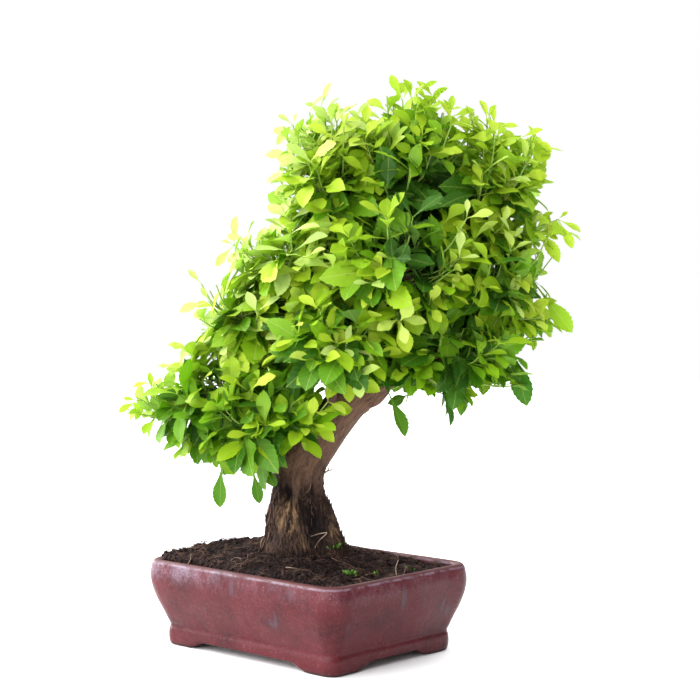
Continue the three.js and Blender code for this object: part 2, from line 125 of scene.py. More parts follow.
def skin(rings, closed=True):
    """Points and faces of a skin through rings of as many points each; the ends close on a point."""
    count = len(rings[0])
    points = np.vstack(rings)
    side = np.arange(count)
    on = (side + 1) % count
    faces = []
    for ring in range(len(rings) - 1):
        a, b = ring * count + side, ring * count + on
        faces += np.column_stack([a, b, b + count, a + count]).tolist()
    if closed:
        ends = np.array([rings[0].mean(0), rings[-1].mean(0)])
        first, last = len(points), (len(rings) - 1) * count
        points = np.vstack([points, ends])
        faces += np.column_stack([on, side, np.full(count, first)]).tolist()
        faces += np.column_stack([last + side, last + on, np.full(count, first + 1)]).tolist()
    return points, faces


def new_mesh(name, points, faces):
    mesh = bpy.data.meshes.new(name)
    mesh.from_pydata(np.asarray(points).tolist(), [], faces)
    mesh.polygons.foreach_set("use_smooth", [True] * len(mesh.polygons))
    return mesh


def placed(name, data):
    """An object in the scene, for a mesh, a camera or a light."""
    made = bpy.data.objects.new(name, data)
    bpy.context.scene.collection.objects.link(made)
    return made


def new_piece(name, points, faces):
    """A mesh object from points in the row's frame, in millimetres."""
    return placed(name, new_mesh(name, np.asarray(points) * MM, faces))


def finished(piece):
    """Applies the piece's modifiers, so that its own mesh is what they make."""
    ready = piece.evaluated_get(bpy.context.evaluated_depsgraph_get())
    mesh = bpy.data.meshes.new_from_object(ready)
    piece.modifiers.clear()
    old, piece.data = piece.data, mesh
    bpy.data.meshes.remove(old)
    mesh.name = piece.name
    return piece


def outwards(piece):
    """Points every face of a closed piece outwards."""
    work = bmesh.new()
    work.from_mesh(piece.data)
    bmesh.ops.recalc_face_normals(work, faces=work.faces)
    work.to_mesh(piece.data)
    work.free()


def arch(outline):
    """How high the foot ring's edge stands off the ground at each point of the outline."""
    x, y = np.abs(outline[:, 0]), np.abs(outline[:, 1])
    half_length, half_width = POT_LENGTH / 2, POT_WIDTH / 2
    on_long = y / half_width > x / half_length
    reach = np.where(on_long, x - half_length, y - half_width) + FOOT_INSET + FOOT_LENGTH + ARCH_SLOPE
    share = np.clip(reach / ARCH_SLOPE, 0, 1)
    return ARCH_HEIGHT * (1 - share * share * (3 - 2 * share))


def pot_ring(height, inset):
    outline = pot_outline(inset)
    z = np.full(len(outline), float(height))
    if height < FOOT_TOP:
        lift = arch(outline)
        z = lift + height * (FOOT_TOP - lift) / FOOT_TOP
    return np.column_stack([outline, z])


def circle(sides):
    """The cosines and sines of as many even turns."""
    turn = np.linspace(0, 2 * np.pi, sides, endpoint=False)
    return np.cos(turn), np.sin(turn)


foot_inner = FOOT_INSET + FOOT_WALL
rings = [pot_ring(FLOOR_UNDERSIDE, foot_inner) * (share, share, 1) for share in (*FLOOR_RINGS, 1)]
rings += [pot_ring(height, foot_inner) for height in (FOOT_INNER_TOP, FOOT_EDGE)]
rings += [pot_ring(0, foot_inner - FOOT_EDGE), pot_ring(0, SOLE_INSET)]
rings += [pot_ring(max(height, 0), inset) for height, inset in through(POT_WALL, PROFILE_STEPS)]
rings += [pot_ring(FLOOR_TOP, FLOOR_INSET) * (share, share, 1) for share in FLOOR_RINGS[::-1]]
points, faces = skin(rings)
for point in points:
    swell = noise.noise(Vector(point) / WOBBLE_WAVE) * WOBBLE * min(point[2] / WOBBLE_FULL_AT, 1)
    point[:2] += swell * point[:2] / (np.linalg.norm(point[:2]) + 1)
pot = new_piece("glazed_pot", points + POT_MIDDLE, faces)
outwards(pot)
cosines, sines = circle(DRAIN_SIDES)
for side in (-1, 1):
    middle = side * DRAIN_SPACING / 2
    hole = np.column_stack([DRAIN_RADIUS * cosines + middle, DRAIN_RADIUS * sines, 0 * sines])
    drill = new_piece("drill", *skin([hole + POT_MIDDLE + (0, 0, z) for z in DRAIN_CUT]))
    outwards(drill)
    cut = pot.modifiers.new("drain", "BOOLEAN")
    cut.object, cut.operation, cut.solver = drill, "DIFFERENCE", "EXACT"
    finished(pot)
    bpy.data.objects.remove(drill)
pot.data.set_sharp_from_angle(angle=CRISP_FROM)


class Value:
    """An output socket, for expressions on values."""

    def __init__(self, tree, socket):
        self.tree, self.socket = tree, socket

    def out(self, name):
        return Value(self.tree, self.socket.node.outputs[name])

    def math(self, operation, *others):
        return self.tree.add("ShaderNodeMath", {"operation": operation}, dict(enumerate((self, *others))))

    def __add__(self, other):
        return self.math("ADD", other)

    def __sub__(self, other):
        return self.math("SUBTRACT", other)

    def __mul__(self, other):
        return self.math("MULTIPLY", other)

    def __truediv__(self, other):
        return self.math("DIVIDE", other)

    def __rsub__(self, other):
        return self.tree.add("ShaderNodeMath", {"operation": "SUBTRACT"}, {0: other, 1: self})

    __radd__, __rmul__ = __add__, __mul__

    def rise(self, start, end):
        """0 before start, 1 after end, and smooth between them; start may be the higher one."""
        ends = {"Value": self, "From Min": start, "From Max": end}
        return self.tree.add("ShaderNodeMapRange", {"interpolation_type": "SMOOTHSTEP"}, ends)


class Tree:
    """Adds nodes to a material's tree or a geometry tree."""

    def __init__(self, tree):
        self.tree = tree

    def add(self, kind, settings=None, inputs=None, out=0):
        node = self.tree.nodes.new(kind)
        for key, value in (settings or {}).items():
            if key == "stops":
                for place, colour in value[2:]:
                    node.color_ramp.elements.new(place)
                for stop, (place, colour) in zip(node.color_ramp.elements, sorted(value)):
                    stop.position, stop.color = place, (*colour, 1)
            else:
                setattr(node, key, value)
        for key, value in (inputs or {}).items():
            if isinstance(value, Value):
                self.tree.links.new(value.socket, node.inputs[key])
            else:
                node.inputs[key].default_value = value
        return Value(self, node.outputs[out] if len(node.outputs) else None)

    def mix(self, factor, a, b, blend="MIX"):
        colours = [c if isinstance(c, Value) else (*c, 1) for c in (a, b)]
        return self.add(
            "ShaderNodeMix", {"data_type": "RGBA", "blend_type": blend},
            {0: factor, 6: colours[0], 7: colours[1]}, 2,
        )

    def noise(self, place, scale, detail=3, roughness=0.5, stretch=(1, 1, 1), distortion=0):
        if stretch != (1, 1, 1):
            place = self.add("ShaderNodeMapping", None, {"Vector": place, "Scale": stretch})
        return self.add("ShaderNodeTexNoise", None, {
            "Vector": place, "Scale": scale, "Detail": detail, "Roughness": roughness,
            "Distortion": distortion,
        })

    def place(self):
        return self.add("ShaderNodeTexCoord", out="Object")

    def attribute(self, name, out="Fac"):
        return self.add("ShaderNodeAttribute", {"attribute_name": name}, out=out)

    def split(self, vector):
        parts = self.add("ShaderNodeSeparateXYZ", None, {0: vector})
        return [parts.out(axis) for axis in "XYZ"]

    def bump(self, strength, distance, height):
        inputs = {"Strength": strength, "Distance": distance, "Height": height}
        return self.add("ShaderNodeBump", None, inputs)

    def named(self, kind, name):
        return self.add("GeometryNodeInputNamedAttribute", {"data_type": kind}, {"Name": name})


def new_material(name, **constants):
    """A material with its tree and its Principled shader's node."""
    material = bpy.data.materials.new(name)
    material.use_nodes = True
    tree = Tree(material.node_tree)
    shader = material.node_tree.nodes["Principled BSDF"]
    for key, value in constants.items():
        shader.inputs[key.replace("_", " ")].default_value = value
    return material, tree, shader


def feed(tree, shader, **links):
    for key, value in links.items():
        tree.tree.links.new(value.socket, shader.inputs[key.replace("_", " ")])


GLAZE_DEEP, GLAZE_RED = (0.041, 0.0065, 0.0085), (0.075, 0.0096, 0.0125)
GLAZE_ROSE, GLAZE_SPECK = (0.122, 0.026, 0.033), (0.30, 0.15, 0.16)
GLAZE_SLATE, GLAZE_EDGE = (0.062, 0.043, 0.058), (0.085, 0.03, 0.029)
SCALE_AND_HIGHLIGHT_WHITE, BARE_CLAY, UNGLAZED = (0.38, 0.33, 0.42), (0.035, 0.02, 0.018), (0.15, 0.078, 0.052)
# Where the finish changes, in metres on the pot: each mask is 0 at the first and 1 at the second.
DRIPS_BOTTOM, DRIPS_TOP = (0.026, 0.04), (0.084, 0.07)
SCALE_BOTTOM, SCALE_TOP, SCALE_LEFTWARDS = (0.062, 0.083), (0.0885, 0.0855), (0.02, -0.12)
LIP_BOTTOM, LIP_TOP = (0.0838, 0.0856), (0.0874, 0.0862)
EDGE_FROM, BARE_FOOT = (0.0852, 0.0872), (0.0045, 0.0012)
RECESS_TOP, RECESS_ALONG, RECESS_ACROSS = (0.0195, 0.018), (0.1055, 0.1025), (0.0765, 0.0735)
glaze, tree, shader = new_material("oxblood_glaze", Coat_Roughness=0.15, Specular_IOR_Level=0.12)
to_middle = {"Vector": tree.place(), "Location": tuple(-POT_MIDDLE * MM)}
centred = tree.add("ShaderNodeMapping", {"vector_type": "POINT"}, to_middle)
x, y, z = tree.split(centred)
cloud = tree.noise(centred, 26, 6, 0.65)
fine = tree.noise(centred, 640, 3, 0.65)
colour = tree.mix(cloud.rise(0.3, 0.62), GLAZE_DEEP, GLAZE_RED)
blush = tree.noise(centred, 14, 6, 0.7, distortion=0.8).rise(0.5, 0.8) * 0.5
colour = tree.mix(blush, colour, GLAZE_ROSE)
colour = tree.mix(tree.noise(centred, 300, 4, 0.7).rise(0.4, 0.75) * 0.45, colour, GLAZE_ROSE)
specks = fine.rise(0.62, 0.72) * (0.4 + 0.6 * cloud.rise(0.4, 0.6))
colour = tree.mix(specks * 0.6, colour, GLAZE_SPECK)
pits = tree.noise(centred, 260, 2, 0.5).rise(0.33, 0.24)
colour = tree.mix(pits * 0.6, colour, GLAZE_DEEP)
drips = tree.noise(centred, 62, 2, 0.5, stretch=(1, 1, 0.2)).rise(0.62, 0.7)
drips = drips * z.rise(*DRIPS_BOTTOM) * z.rise(*DRIPS_TOP)
colour = tree.mix(drips * 0.65, colour, GLAZE_SLATE)
crust = tree.noise(centred, 48, 8, 0.85, stretch=(1, 1, 0.6)).rise(0.38, 0.66)
crust = crust * (0.45 + 0.55 * fine.rise(0.38, 0.6))
band = z.rise(*SCALE_BOTTOM) * z.rise(*SCALE_TOP)
lime = crust * band * (0.22 + 0.78 * x.rise(*SCALE_LEFTWARDS))
colour = tree.mix(lime * 0.52, colour, SCALE_AND_HIGHLIGHT_WHITE)
# The outer lip: a pale patchy band, partly worn scale and partly a painted highlight along the rim.
lip_scale_and_highlight = z.rise(*LIP_BOTTOM) * z.rise(*LIP_TOP)
colour = tree.mix(lip_scale_and_highlight * tree.noise(centred, 90, 4, 0.7).rise(0.35, 0.6) * 0.36, colour, SCALE_AND_HIGHLIGHT_WHITE)
edge = z.rise(*EDGE_FROM)
colour = tree.mix(edge * (0.45 + 0.5 * cloud.rise(0.3, 0.7)), colour, GLAZE_EDGE)
foot = z.rise(*BARE_FOOT)
colour = tree.mix(foot * 0.9, colour, BARE_CLAY)
# The recess under the floor is left unglazed.
under = z.rise(*RECESS_TOP) * x.math("ABSOLUTE").rise(*RECESS_ALONG)
under = under * y.math("ABSOLUTE").rise(*RECESS_ACROSS)
clay = tree.mix(fine.rise(0.42, 0.62) * 0.4 + cloud.rise(0.45, 0.6) * 0.3, UNGLAZED, BARE_CLAY)
colour = tree.mix(under, colour, clay)
rough = 0.27 + 0.22 * tree.noise(centred, 35, 3).rise(0.4, 0.7) + 0.3 * lime
rough = rough + 0.35 * foot + 0.35 * under + 0.2 * edge
coat = 0.06 * (1 - foot) * (1 - under) * (1 - 0.8 * lime)
orange_peel = tree.noise(centred, 160, 3, 0.55)
height = orange_peel * 0.6 + cloud * 0.5 - pits * 0.5 + lime * 0.15 + specks * 0.15
bump = tree.bump(0.35, 0.0012, height)
feed(tree, shader, Base_Color=colour, Roughness=rough, Coat_Weight=coat, Normal=bump)
pot.data.materials.append(glaze)
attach(pot, "root")
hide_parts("pot")


# The soil: dark fibrous peat, pressed into the pot round the roots. It lies a little below the
# rim, heaped round the trunk and higher on the tree's left.
GAP = 0.3  # clear of the pot's inner wall
SOIL_SIDE = [(FLOOR_TOP + GAP, 30.3), (32, 22.3), (50, 14.9), (70, 11.3), (80, 11.3)]  # height, inset
SOIL_AT_WALL, SOIL_TILT, MOUND_HEIGHT, MOUND_REACH = 85.5, 5, 16, 78
SOIL_EDGE_INSET, SOIL_HIGHEST_AT_RIM = 11, 86
SOIL_RINGS, INNERMOST_RING, RING_CROWDING, BOTTOM_RING = 70, 0.06, 0.9, 0.3
TREE_TURN = math.radians(42.5)
TRUNK_FOOT = (-4, 0)  # across and away, in the tree's own frame
CLODS = ((24, 2.6), (9, 2.2), (4, 1.2), (2, 0.5))  # wave length and height
CLODS_AT_WALL, CLODS_GROW, FREE_RISE = 0.35, 12, 30  # low at the wall, and free further in
SIDE_HEAP, HEAP_AT, HEAP_REACH = 6, (-122, 12), (26, 74)  # soil that hides the rim at the back left
HEAP_SLOPE, HEAP_START = 50, 1.4


def across_away(x, y):
    c, s = math.cos(TREE_TURN), math.sin(TREE_TURN)
    return x * c + y * s, y * c - x * s


def soil_height(x, y):
    across, away = across_away(x, y)
    near = np.hypot(across - TRUNK_FOOT[0], away - TRUNK_FOOT[1]) / MOUND_REACH
    heaped = -SOIL_TILT * across / (POT_LENGTH / 2)
    side = ((x - HEAP_AT[0]) / HEAP_REACH[0]) ** 2 + ((y - HEAP_AT[1]) / HEAP_REACH[1]) ** 2
    return SOIL_AT_WALL + heaped + MOUND_HEIGHT * np.exp(-near * near) + SIDE_HEAP * np.exp(-side)


edge = pot_outline(SOIL_EDGE_INSET + GAP)
rings = []
for height, inset in SOIL_SIDE:
    outline = pot_outline(inset)
    rings.append(np.column_stack([outline, np.full(len(outline), height)]))
rings.insert(0, rings[0] * (BOTTOM_RING, BOTTOM_RING, 1))
for share in np.linspace(1, INNERMOST_RING, SOIL_RINGS) ** RING_CROWDING:
    flat = edge * share
    clods = sum(
        amount * np.array([noise.noise((px / wave, py / wave, wave)) for px, py in flat])
        for wave, amount in CLODS
    )
    held = min((1 - share) * CLODS_GROW, 1)
    z = soil_height(flat[:, 0], flat[:, 1]) + clods * (CLODS_AT_WALL + (1 - CLODS_AT_WALL) * held)
    heap = SIDE_HEAP * np.clip(-flat[:, 0] / HEAP_SLOPE - HEAP_START, 0, 1)
    highest = SOIL_HIGHEST_AT_RIM + heap + FREE_RISE * held**2
    rings.append(np.column_stack([flat, np.minimum(z, highest)]))
points, faces = skin(rings)
soil = new_piece("potting_soil", points + POT_MIDDLE, faces)
outwards(soil)

PEAT_BLACK, PEAT_BROWN, PEAT_FIBRE = (0.004, 0.0025, 0.0028), (0.022, 0.0115, 0.011), (0.06, 0.033, 0.026)
peat, tree, shader = new_material("peat", Specular_IOR_Level=0.1)
place = tree.place()
grain = tree.noise(place, 260, 5, 0.7)
colour = tree.mix(grain.rise(0.35, 0.72), PEAT_BLACK, PEAT_BROWN)
threads = tree.noise(place, 190, 3, 0.6, stretch=(1, 0.18, 0.6), distortion=2.5).rise(0.6, 0.72)
crossing = tree.noise(place, 190, 3, 0.6, stretch=(0.2, 1, 0.6), distortion=2.5).rise(0.62, 0.74)
colour = tree.mix((threads + crossing) * 0.45, colour, PEAT_FIBRE)
bump = tree.bump(0.9, 0.0015, grain + 0.5 * threads)
feed(tree, shader, Base_Color=colour, Roughness=0.86 + 0.12 * grain, Normal=bump)
soil.data.materials.append(peat)
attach(soil, "root")
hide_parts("soil")


# What lies loose on the soil: crumbs of peat, and dry fibres and root hairs. One Geometry Nodes
# tree strews small shapes over a surface, as thick as the surface's own "cover" says.
CRUMBS, FIBRES = 62000.0, 52000.0  # per square metre
KINDS = 6  # how many shapes there are of each
COVER_DEPTH, COVER_LOWEST, COVER_FROM_TRUNK = 9, 76, 34
COVER_LEAST, COVER_MORE, COVER_WAVE, COVER_SHIFT = 0.45, 0.9, 13, 0.35


def geometry_tree(name, inputs):
    """A Geometry Nodes group with named inputs: the group, its sockets, its tree and its input node."""
    group = bpy.data.node_groups.new(name, "GeometryNodeTree")
    sockets = {}
    for label, kind in inputs:
        socket_type = "NodeSocket" + kind
        sockets[label] = group.interface.new_socket(label, in_out="INPUT", socket_type=socket_type)
    group.interface.new_socket("Geometry", in_out="OUTPUT", socket_type="NodeSocketGeometry")
    tree = Tree(group)
    return group, sockets, tree, tree.add("NodeGroupInput")


def random_value(tree, low, high, seed):
    settings, inputs = {"data_type": "FLOAT"}, {2: low, 3: high, "Seed": seed}
    return tree.add("FunctionNodeRandomValue", settings, inputs, 1)


def on_points(tree, points, collection, inputs):
    """One shape of a collection on each point."""
    shapes = tree.add("GeometryNodeCollectionInfo", None, {
        "Collection": collection, "Separate Children": True, "Reset Children": True,
    })
    return tree.add("GeometryNodeInstanceOnPoints", None, {
        "Points": points, "Instance": shapes, "Pick Instance": True, **inputs,
    })


def ends_in(tree, body):
    tree.tree.links.new(body.socket, tree.tree.nodes.new("NodeGroupOutput").inputs[0])


strewing, strewing_sockets, tree, given = geometry_tree("strewn_over_a_surface", (
    ("Geometry", "Geometry"), ("Shapes", "Collection"), ("Material", "Material"), ("Density", "Float"),
    ("Smallest", "Float"), ("Largest", "Float"), ("Spin", "Float"), ("Tilt", "Float"), ("Seed", "Int"),
))
spots = tree.add("GeometryNodeDistributePointsOnFaces", None, {
    "Mesh": given, "Density": tree.named("FLOAT", "cover") * given.out("Density"),
    "Seed": given.out("Seed"),
})
laid = tree.add("FunctionNodeAxesToRotation", {"primary_axis": "Z", "secondary_axis": "Y"}, {
    "Primary Axis": spots.out("Normal"), "Secondary Axis": (0.02, 0.01, 1),
})
turns = {
    axis: random_value(tree, 0 - given.out(reach), given.out(reach), given.out("Seed") + (axis + 1))
    for axis, reach in enumerate(("Tilt", "Tilt", "Spin"))
}
turn = tree.add("FunctionNodeEulerToRotation", None, {0: tree.add("ShaderNodeCombineXYZ", None, turns)})
turned = {"Rotation": laid, "Rotate By": turn}
laid = tree.add("FunctionNodeRotateRotation", {"rotation_space": "LOCAL"}, turned)
size = random_value(tree, given.out("Smallest"), given.out("Largest"), given.out("Seed") + 9)
body = on_points(tree, spots, given.out("Shapes"), {"Rotation": laid, "Scale": size})
body = tree.add("GeometryNodeRealizeInstances", None, {"Geometry": body})
material = given.out("Material")
ends_in(tree, tree.add("GeometryNodeSetMaterial", None, {"Geometry": body, "Material": material}))


def write_attribute(mesh, name, kind, values, domain="POINT"):
    field = "vector" if kind == "FLOAT_VECTOR" else "value"
    mesh.attributes.new(name, kind, domain).data.foreach_set(field, np.asarray(values).ravel())


def read_vectors(rows, field):
    flat = np.empty(len(rows) * 3)
    rows.foreach_get(field, flat)
    return flat.reshape(-1, 3)


def grow(piece, group, sockets, values):
    """Runs a Geometry Nodes group on a piece, which is a plain mesh again after it."""
    modifier = piece.modifiers.new(group.name, "NODES")
    modifier.node_group = group
    for label, value in values.items():
        modifier[sockets[label].identifier] = value
    finished(piece)


def collection_of(name, shape):
    """A collection of small closed shapes of one kind, each about one unit long."""
    made = bpy.data.collections.new(name)
    for number in range(KINDS):
        label = f"{name}_{number}"
        made.objects.link(bpy.data.objects.new(label, new_mesh(label, *shape(number))))
    return made


def strewn(name, carrier, cover, shapes, material, slot, **values):
    """A piece of shapes strewn over another piece's surface; cover gives each point's share."""
    piece = placed(name, carrier.data.copy())
    write_attribute(piece.data, "cover", "FLOAT", cover)
    grow(piece, strewing, strewing_sockets, {"Shapes": shapes, "Material": material, **values})
    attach(piece, "root")


def thin_tube(path, radii, sides):
    """A small round strand: points and faces."""
    heading = np.gradient(path, axis=0)
    heading /= np.linalg.norm(heading, axis=1)[:, None]
    cosines, sines = circle(sides)
    rings = []
    for middle, ahead, radius in zip(path, heading, radii):
        across = np.cross(ahead, (0.3, 0.1, 1))
        across /= np.linalg.norm(across)
        other = np.cross(ahead, across)
        rings.append(middle + radius * (np.outer(cosines, across) + np.outer(sines, other)))
    return skin(rings)


def crumb(number):
    work = bmesh.new()
    bmesh.ops.create_icosphere(work, subdivisions=1, radius=0.5)
    for vert in work.verts:
        vert.co *= 0.75 + 0.9 * abs(noise.noise(vert.co * 2.3 + Vector((number * 7.1, 0, 0))))
        vert.co.z *= 0.7
    made = [tuple(v.co) for v in work.verts], [[v.index for v in f.verts] for f in work.faces]
    work.free()
    return made


def fibre(number):
    t = np.linspace(-0.5, 0.5, 7)
    bend, kink = 0.12 + 0.05 * number, 0.06 * math.sin(number * 2.1)
    side = bend * np.cos(3 * t + number) + kink * np.sin(11 * t)
    path = np.column_stack([t, side, 0.05 + 0.12 * np.cos(4 * t)])
    return thin_tube(path, 0.022 * (1 - 1.6 * np.abs(t)), 3)


def plain_noise_material(name, dark, light, scale, specular=0.1):
    material, tree, shader = new_material(name, Specular_IOR_Level=specular)
    place = tree.place()
    wide, fine = tree.noise(place, scale, 3, 0.6), tree.noise(place, scale * 6, 2)
    colour, bump = tree.mix(wide.rise(0.36, 0.66), dark, light), tree.bump(0.7, 0.0008, fine)
    feed(tree, shader, Base_Color=colour, Roughness=0.8 + 0.15 * fine, Normal=bump)
    return material


spread = read_vectors(soil.data.vertices, "co") / MM - POT_MIDDLE
top = spread[:, 2] > soil_height(spread[:, 0], spread[:, 1]) - COVER_DEPTH
top = top & (spread[:, 2] > COVER_LOWEST)
from_trunk = np.array(across_away(spread[:, 0], spread[:, 1])).T - TRUNK_FOOT
clear = np.hypot(*from_trunk.T) > COVER_FROM_TRUNK
patches = np.clip([noise.noise(Vector(p) / COVER_WAVE) + COVER_SHIFT for p in spread], 0, 1)
soil_cover = (top & clear) * (COVER_LEAST + COVER_MORE * patches)
crumb_peat = plain_noise_material("crumb_peat", (0.006, 0.004, 0.004), (0.036, 0.02, 0.019), 90)
dry_fibre = plain_noise_material("dry_fibre", (0.018, 0.010, 0.009), (0.115, 0.068, 0.05), 45)
strewn(
    "soil_crumbs", soil, soil_cover, collection_of("crumbs", crumb), crumb_peat, "potting_soil",
    Density=CRUMBS, Smallest=0.0014, Largest=0.0062, Spin=math.pi, Tilt=0.6, Seed=11,
)
strewn(
    "soil_fibres", soil, soil_cover, collection_of("fibres", fibre), dry_fibre, "potting_soil",
    Density=FIBRES, Smallest=0.005, Largest=0.019, Spin=math.pi, Tilt=0.3, Seed=23,
)


# The wood: one trunk, buttressed and shaggy with dead bark at its foot and smooth and brown
# above, which forks low. The main stem leans away to the right and a second one leaves its left
# shoulder; from both of them limbs run out to the rounded pads of shoots.
TRUNK = [  # across, away, up, radius, in the tree's own frame
    (-4, 0, 46, 33), (-4, 0, 84, 43), (-4.5, 0, 101, 43), (-5.5, 0, 114, 39.5), (-7.5, 0, 128, 35.5),
    (-9, 0, 144, 32), (-9.5, 0, 161, 27.5), (-9, 0, 176, 27.5), (-4, 0, 192, 27), (8, -1, 209, 25),
    (21, -2, 226, 23.2), (37, -3, 245, 22), (56, -2, 265, 20.8), (73, 0, 286, 18), (87, 3, 312, 14),
    (97, 6, 343, 11.4), (102, 7, 381, 9.2), (99, 5, 420, 7), (95, 1, 468, 3.6),
]
LEFT_TRUNK = [
    (-6, 2, 176, 15), (-17, 0, 196, 16.5), (-31, -3, 221, 13.6), (-43, -5, 249, 11),
    (-51, -6, 279, 8.8), (-55, -7, 307, 6.8), (-50, -8, 336, 4.6), (-40, -12, 362, 3.2),
]
# Each pad of shoots: its name, its green (0 light, 2 dark), middle and radii, how many directions
# are tried round it, and the stem that its limb leaves, at which share of that stem's length.
Pad = namedtuple("Pad", "name tone middle radii directions stem fork")
PADS = [Pad(*row) for row in (
    ("crown", 0, (95, 0, 480), (72, 74, 50), 5, "leader", 0.93),
    ("crown_left", 0, (30, -12, 466), (52, 60, 52), 5, "leader", 0.83),
    ("crown_right", 1, (176, 4, 462), (60, 62, 50), 5, "leader", 0.8),
    ("centre_front", 0, (86, -74, 396), (68, 46, 50), 4, "leader", 0.72),
    ("left_mid", 0, (-16, -24, 400), (54, 58, 44), 4, "leader", 0.66),
    ("right_mid", 1, (184, -22, 376), (56, 58, 44), 4, "leader", 0.62),
    ("left_shoulder", 0, (-64, -4, 338), (54, 58, 40), 4, "left", 0.86),
    ("low_left", 0, (-94, -8, 262), (60, 58, 40), 5, "left", 0.52),
    ("low_front", 1, (-36, -56, 236), (50, 42, 36), 4, "left", 0.36),
    ("low_centre", 0, (30, -70, 320), (56, 42, 38), 4, "leader", 0.56),
    ("low_right", 2, (146, -34, 308), (68, 54, 38), 4, "leader", 0.58),
    ("back_top", 1, (78, 72, 420), (74, 50, 58), 3, "leader", 0.76),
    ("back_left", 1, (-44, 62, 330), (58, 50, 46), 4, "left", 0.72),
    ("back_right", 2, (150, 76, 346), (64, 50, 50), 4, "leader", 0.6),
)]
PATH_STEPS, TRUNK_SIDES, LIMB_SIDES, LIMB_ROWS = 16, 56, 14, 14
RIBS_END = 0.38
LIMB_RADIUS, LIMB_SHARE, LIMB_END_RADIUS, LIMB_ARCH, HUB_DROP = 6.5, 0.62, 4.1, 0.1, 0.3
LIMB_MIDDLE = (0.45, 0.55)  # how near the limb's bend is to its start and to its hub
LIMB_BUMPS, LIMB_GRAIN = 0.8, 6
WOOD_VOXEL, SETTLING, SETTLING_ROUNDS = 1.2, 0.5, 8
SHAGGY_UP_TO, SMOOTH_FROM, SHAGGY_EDGE = 158, 184, 26  # dead bark thins out between these heights
RIDGE_HEIGHT, STRAND_HEIGHT, CRUMB_HEIGHT, LUMP_HEIGHT, SHAG_SINK = 5.5, 3.2, 1.1, 2.2, 3.2
SMOOTH_WAVES, SMOOTH_GRAIN, SMOOTH_SINK = 0.8, 0.5, 1.4
LOOSE_FROM, LOOSE_UP_TO, LOOSE_FADE = 88, 174, 40
GRAIN_STARTS, GRAIN_APART = (0, 900), 100  # so that no two stems show the same grain
MARK_LEEWAY = 4  # how far in front of or behind the wood a mark's middle may lie
# Marks on the trunk's front: place, reach across and up, depth, and how tan or dark they are. The
# dark is painted near black: the dead bark's own black, with painted shade in the hollows.
MARKS = [
    ((-20, -25.4, 159), (5.5, 7), 6.5, 0, 1.0),  # hollow of a lost branch
    ((10, -33, 128), (15, 28), 4.4, 0, 1.0),
    ((-4, -40, 100), (30, 9), 0.6, 0, 0.7),
    ((-19, -32, 137), (11, 17), 1.6, 1.0, 0),  # bare wood
    ((-24, -26, 150), (5, 9), 0.8, 0.5, 0),
    ((29, -19, 121), (5, 17), 0.6, 0.8, 0),
    ((-2, -36, 113), (5, 10), 0.8, 0.55, 0),
    ((-33, -16, 122), (6, 20), 1.2, 0, 0.5),
    ((78, 0, 260), (20, 20), -6.5, 0, 0),  # swelling under the leader's bend
]


def to_row(places):
    """From the tree's own frame to the row's."""
    p = np.atleast_2d(np.asarray(places, float))
    c, s = math.cos(TREE_TURN), math.sin(TREE_TURN)
    return np.column_stack([p[:, 0] * c - p[:, 1] * s, p[:, 0] * s + p[:, 1] * c, p[:, 2]]) + POT_MIDDLE


def unit(v):
    return v / np.maximum(np.linalg.norm(v, axis=-1, keepdims=True), 1e-9)


def place_at(path, share):
    spot = share * (len(path) - 1)
    return np.array([np.interp(spot, np.arange(len(path)), path[:, k]) for k in range(3)])


def frames(path):
    """Heading, across and other at each point of a path, without any spin round it."""
    heading = unit(np.gradient(path, axis=0))
    across = [unit(np.cross((0, 1, 0) if abs(heading[0][1]) < 0.9 else (0, 0, 1), heading[0]))]
    for row in heading[1:]:
        across.append(unit(across[-1] - row * across[-1].dot(row)))
    across = np.array(across)
    return heading, across, np.cross(heading, across)


def tube(path, radii, sides, shape=None):
    heading, across, other = frames(path)
    turn = np.linspace(0, 2 * np.pi, sides, endpoint=False)
    rings = []
    for i, middle in enumerate(path):
        reach = radii[i] * (shape(turn, i / (len(path) - 1)) if shape else 1)
        aside = np.outer(np.cos(turn) * reach, across[i])
        over = np.outer(np.sin(turn) * reach, other[i])
        rings.append(middle + aside + over)
    return skin(rings)


def root_ribs(turn, share):
    ribs = 0.08 * np.cos(3 * turn + 0.6) + 0.06 * np.cos(5 * turn + 2.1) + 0.03 * np.cos(9 * turn + 0.5)
    return 1 + ribs * max(0, 1 - share / RIBS_END)


def merged(parts):
    points, faces, start = [], [], 0
    for part_points, part_faces in parts:
        points.append(part_points)
        faces += [[i + start for i in face] for face in part_faces]
        start += len(part_points)
    return np.vstack(points), faces


STEMS = {"leader": TRUNK, "left": LEFT_TRUNK}
paths, radii_along = {}, {}
for name, stations in STEMS.items():
    paths[name] = through([station[:3] for station in stations], PATH_STEPS)
    along = np.arange(len(paths[name])) / PATH_STEPS
    radii_along[name] = np.interp(along, np.arange(len(stations)), [station[3] for station in stations])
limbs, limb_radii = {}, {}
for pad in PADS:
    start = place_at(paths[pad.stem], pad.fork)
    hub = np.array(pad.middle, float) - (0, 0, pad.radii[2] * HUB_DROP)
    length = np.linalg.norm(hub - start)
    bend = start * LIMB_MIDDLE[0] + hub * LIMB_MIDDLE[1] + (0, 0, length * LIMB_ARCH)
    t = np.linspace(0, 1, LIMB_ROWS)[:, None]
    limbs[pad.name] = (1 - t) ** 2 * start + 2 * t * (1 - t) * bend + t**2 * hub
    radii = radii_along[pad.stem]
    station = pad.fork * (len(STEMS[pad.stem]) - 1)
    thick = min(np.interp(station, np.arange(len(radii)) / PATH_STEPS, radii) * LIMB_SHARE, LIMB_RADIUS)
    limb_radii[pad.name] = thick + (LIMB_END_RADIUS - thick) * t[:, 0]

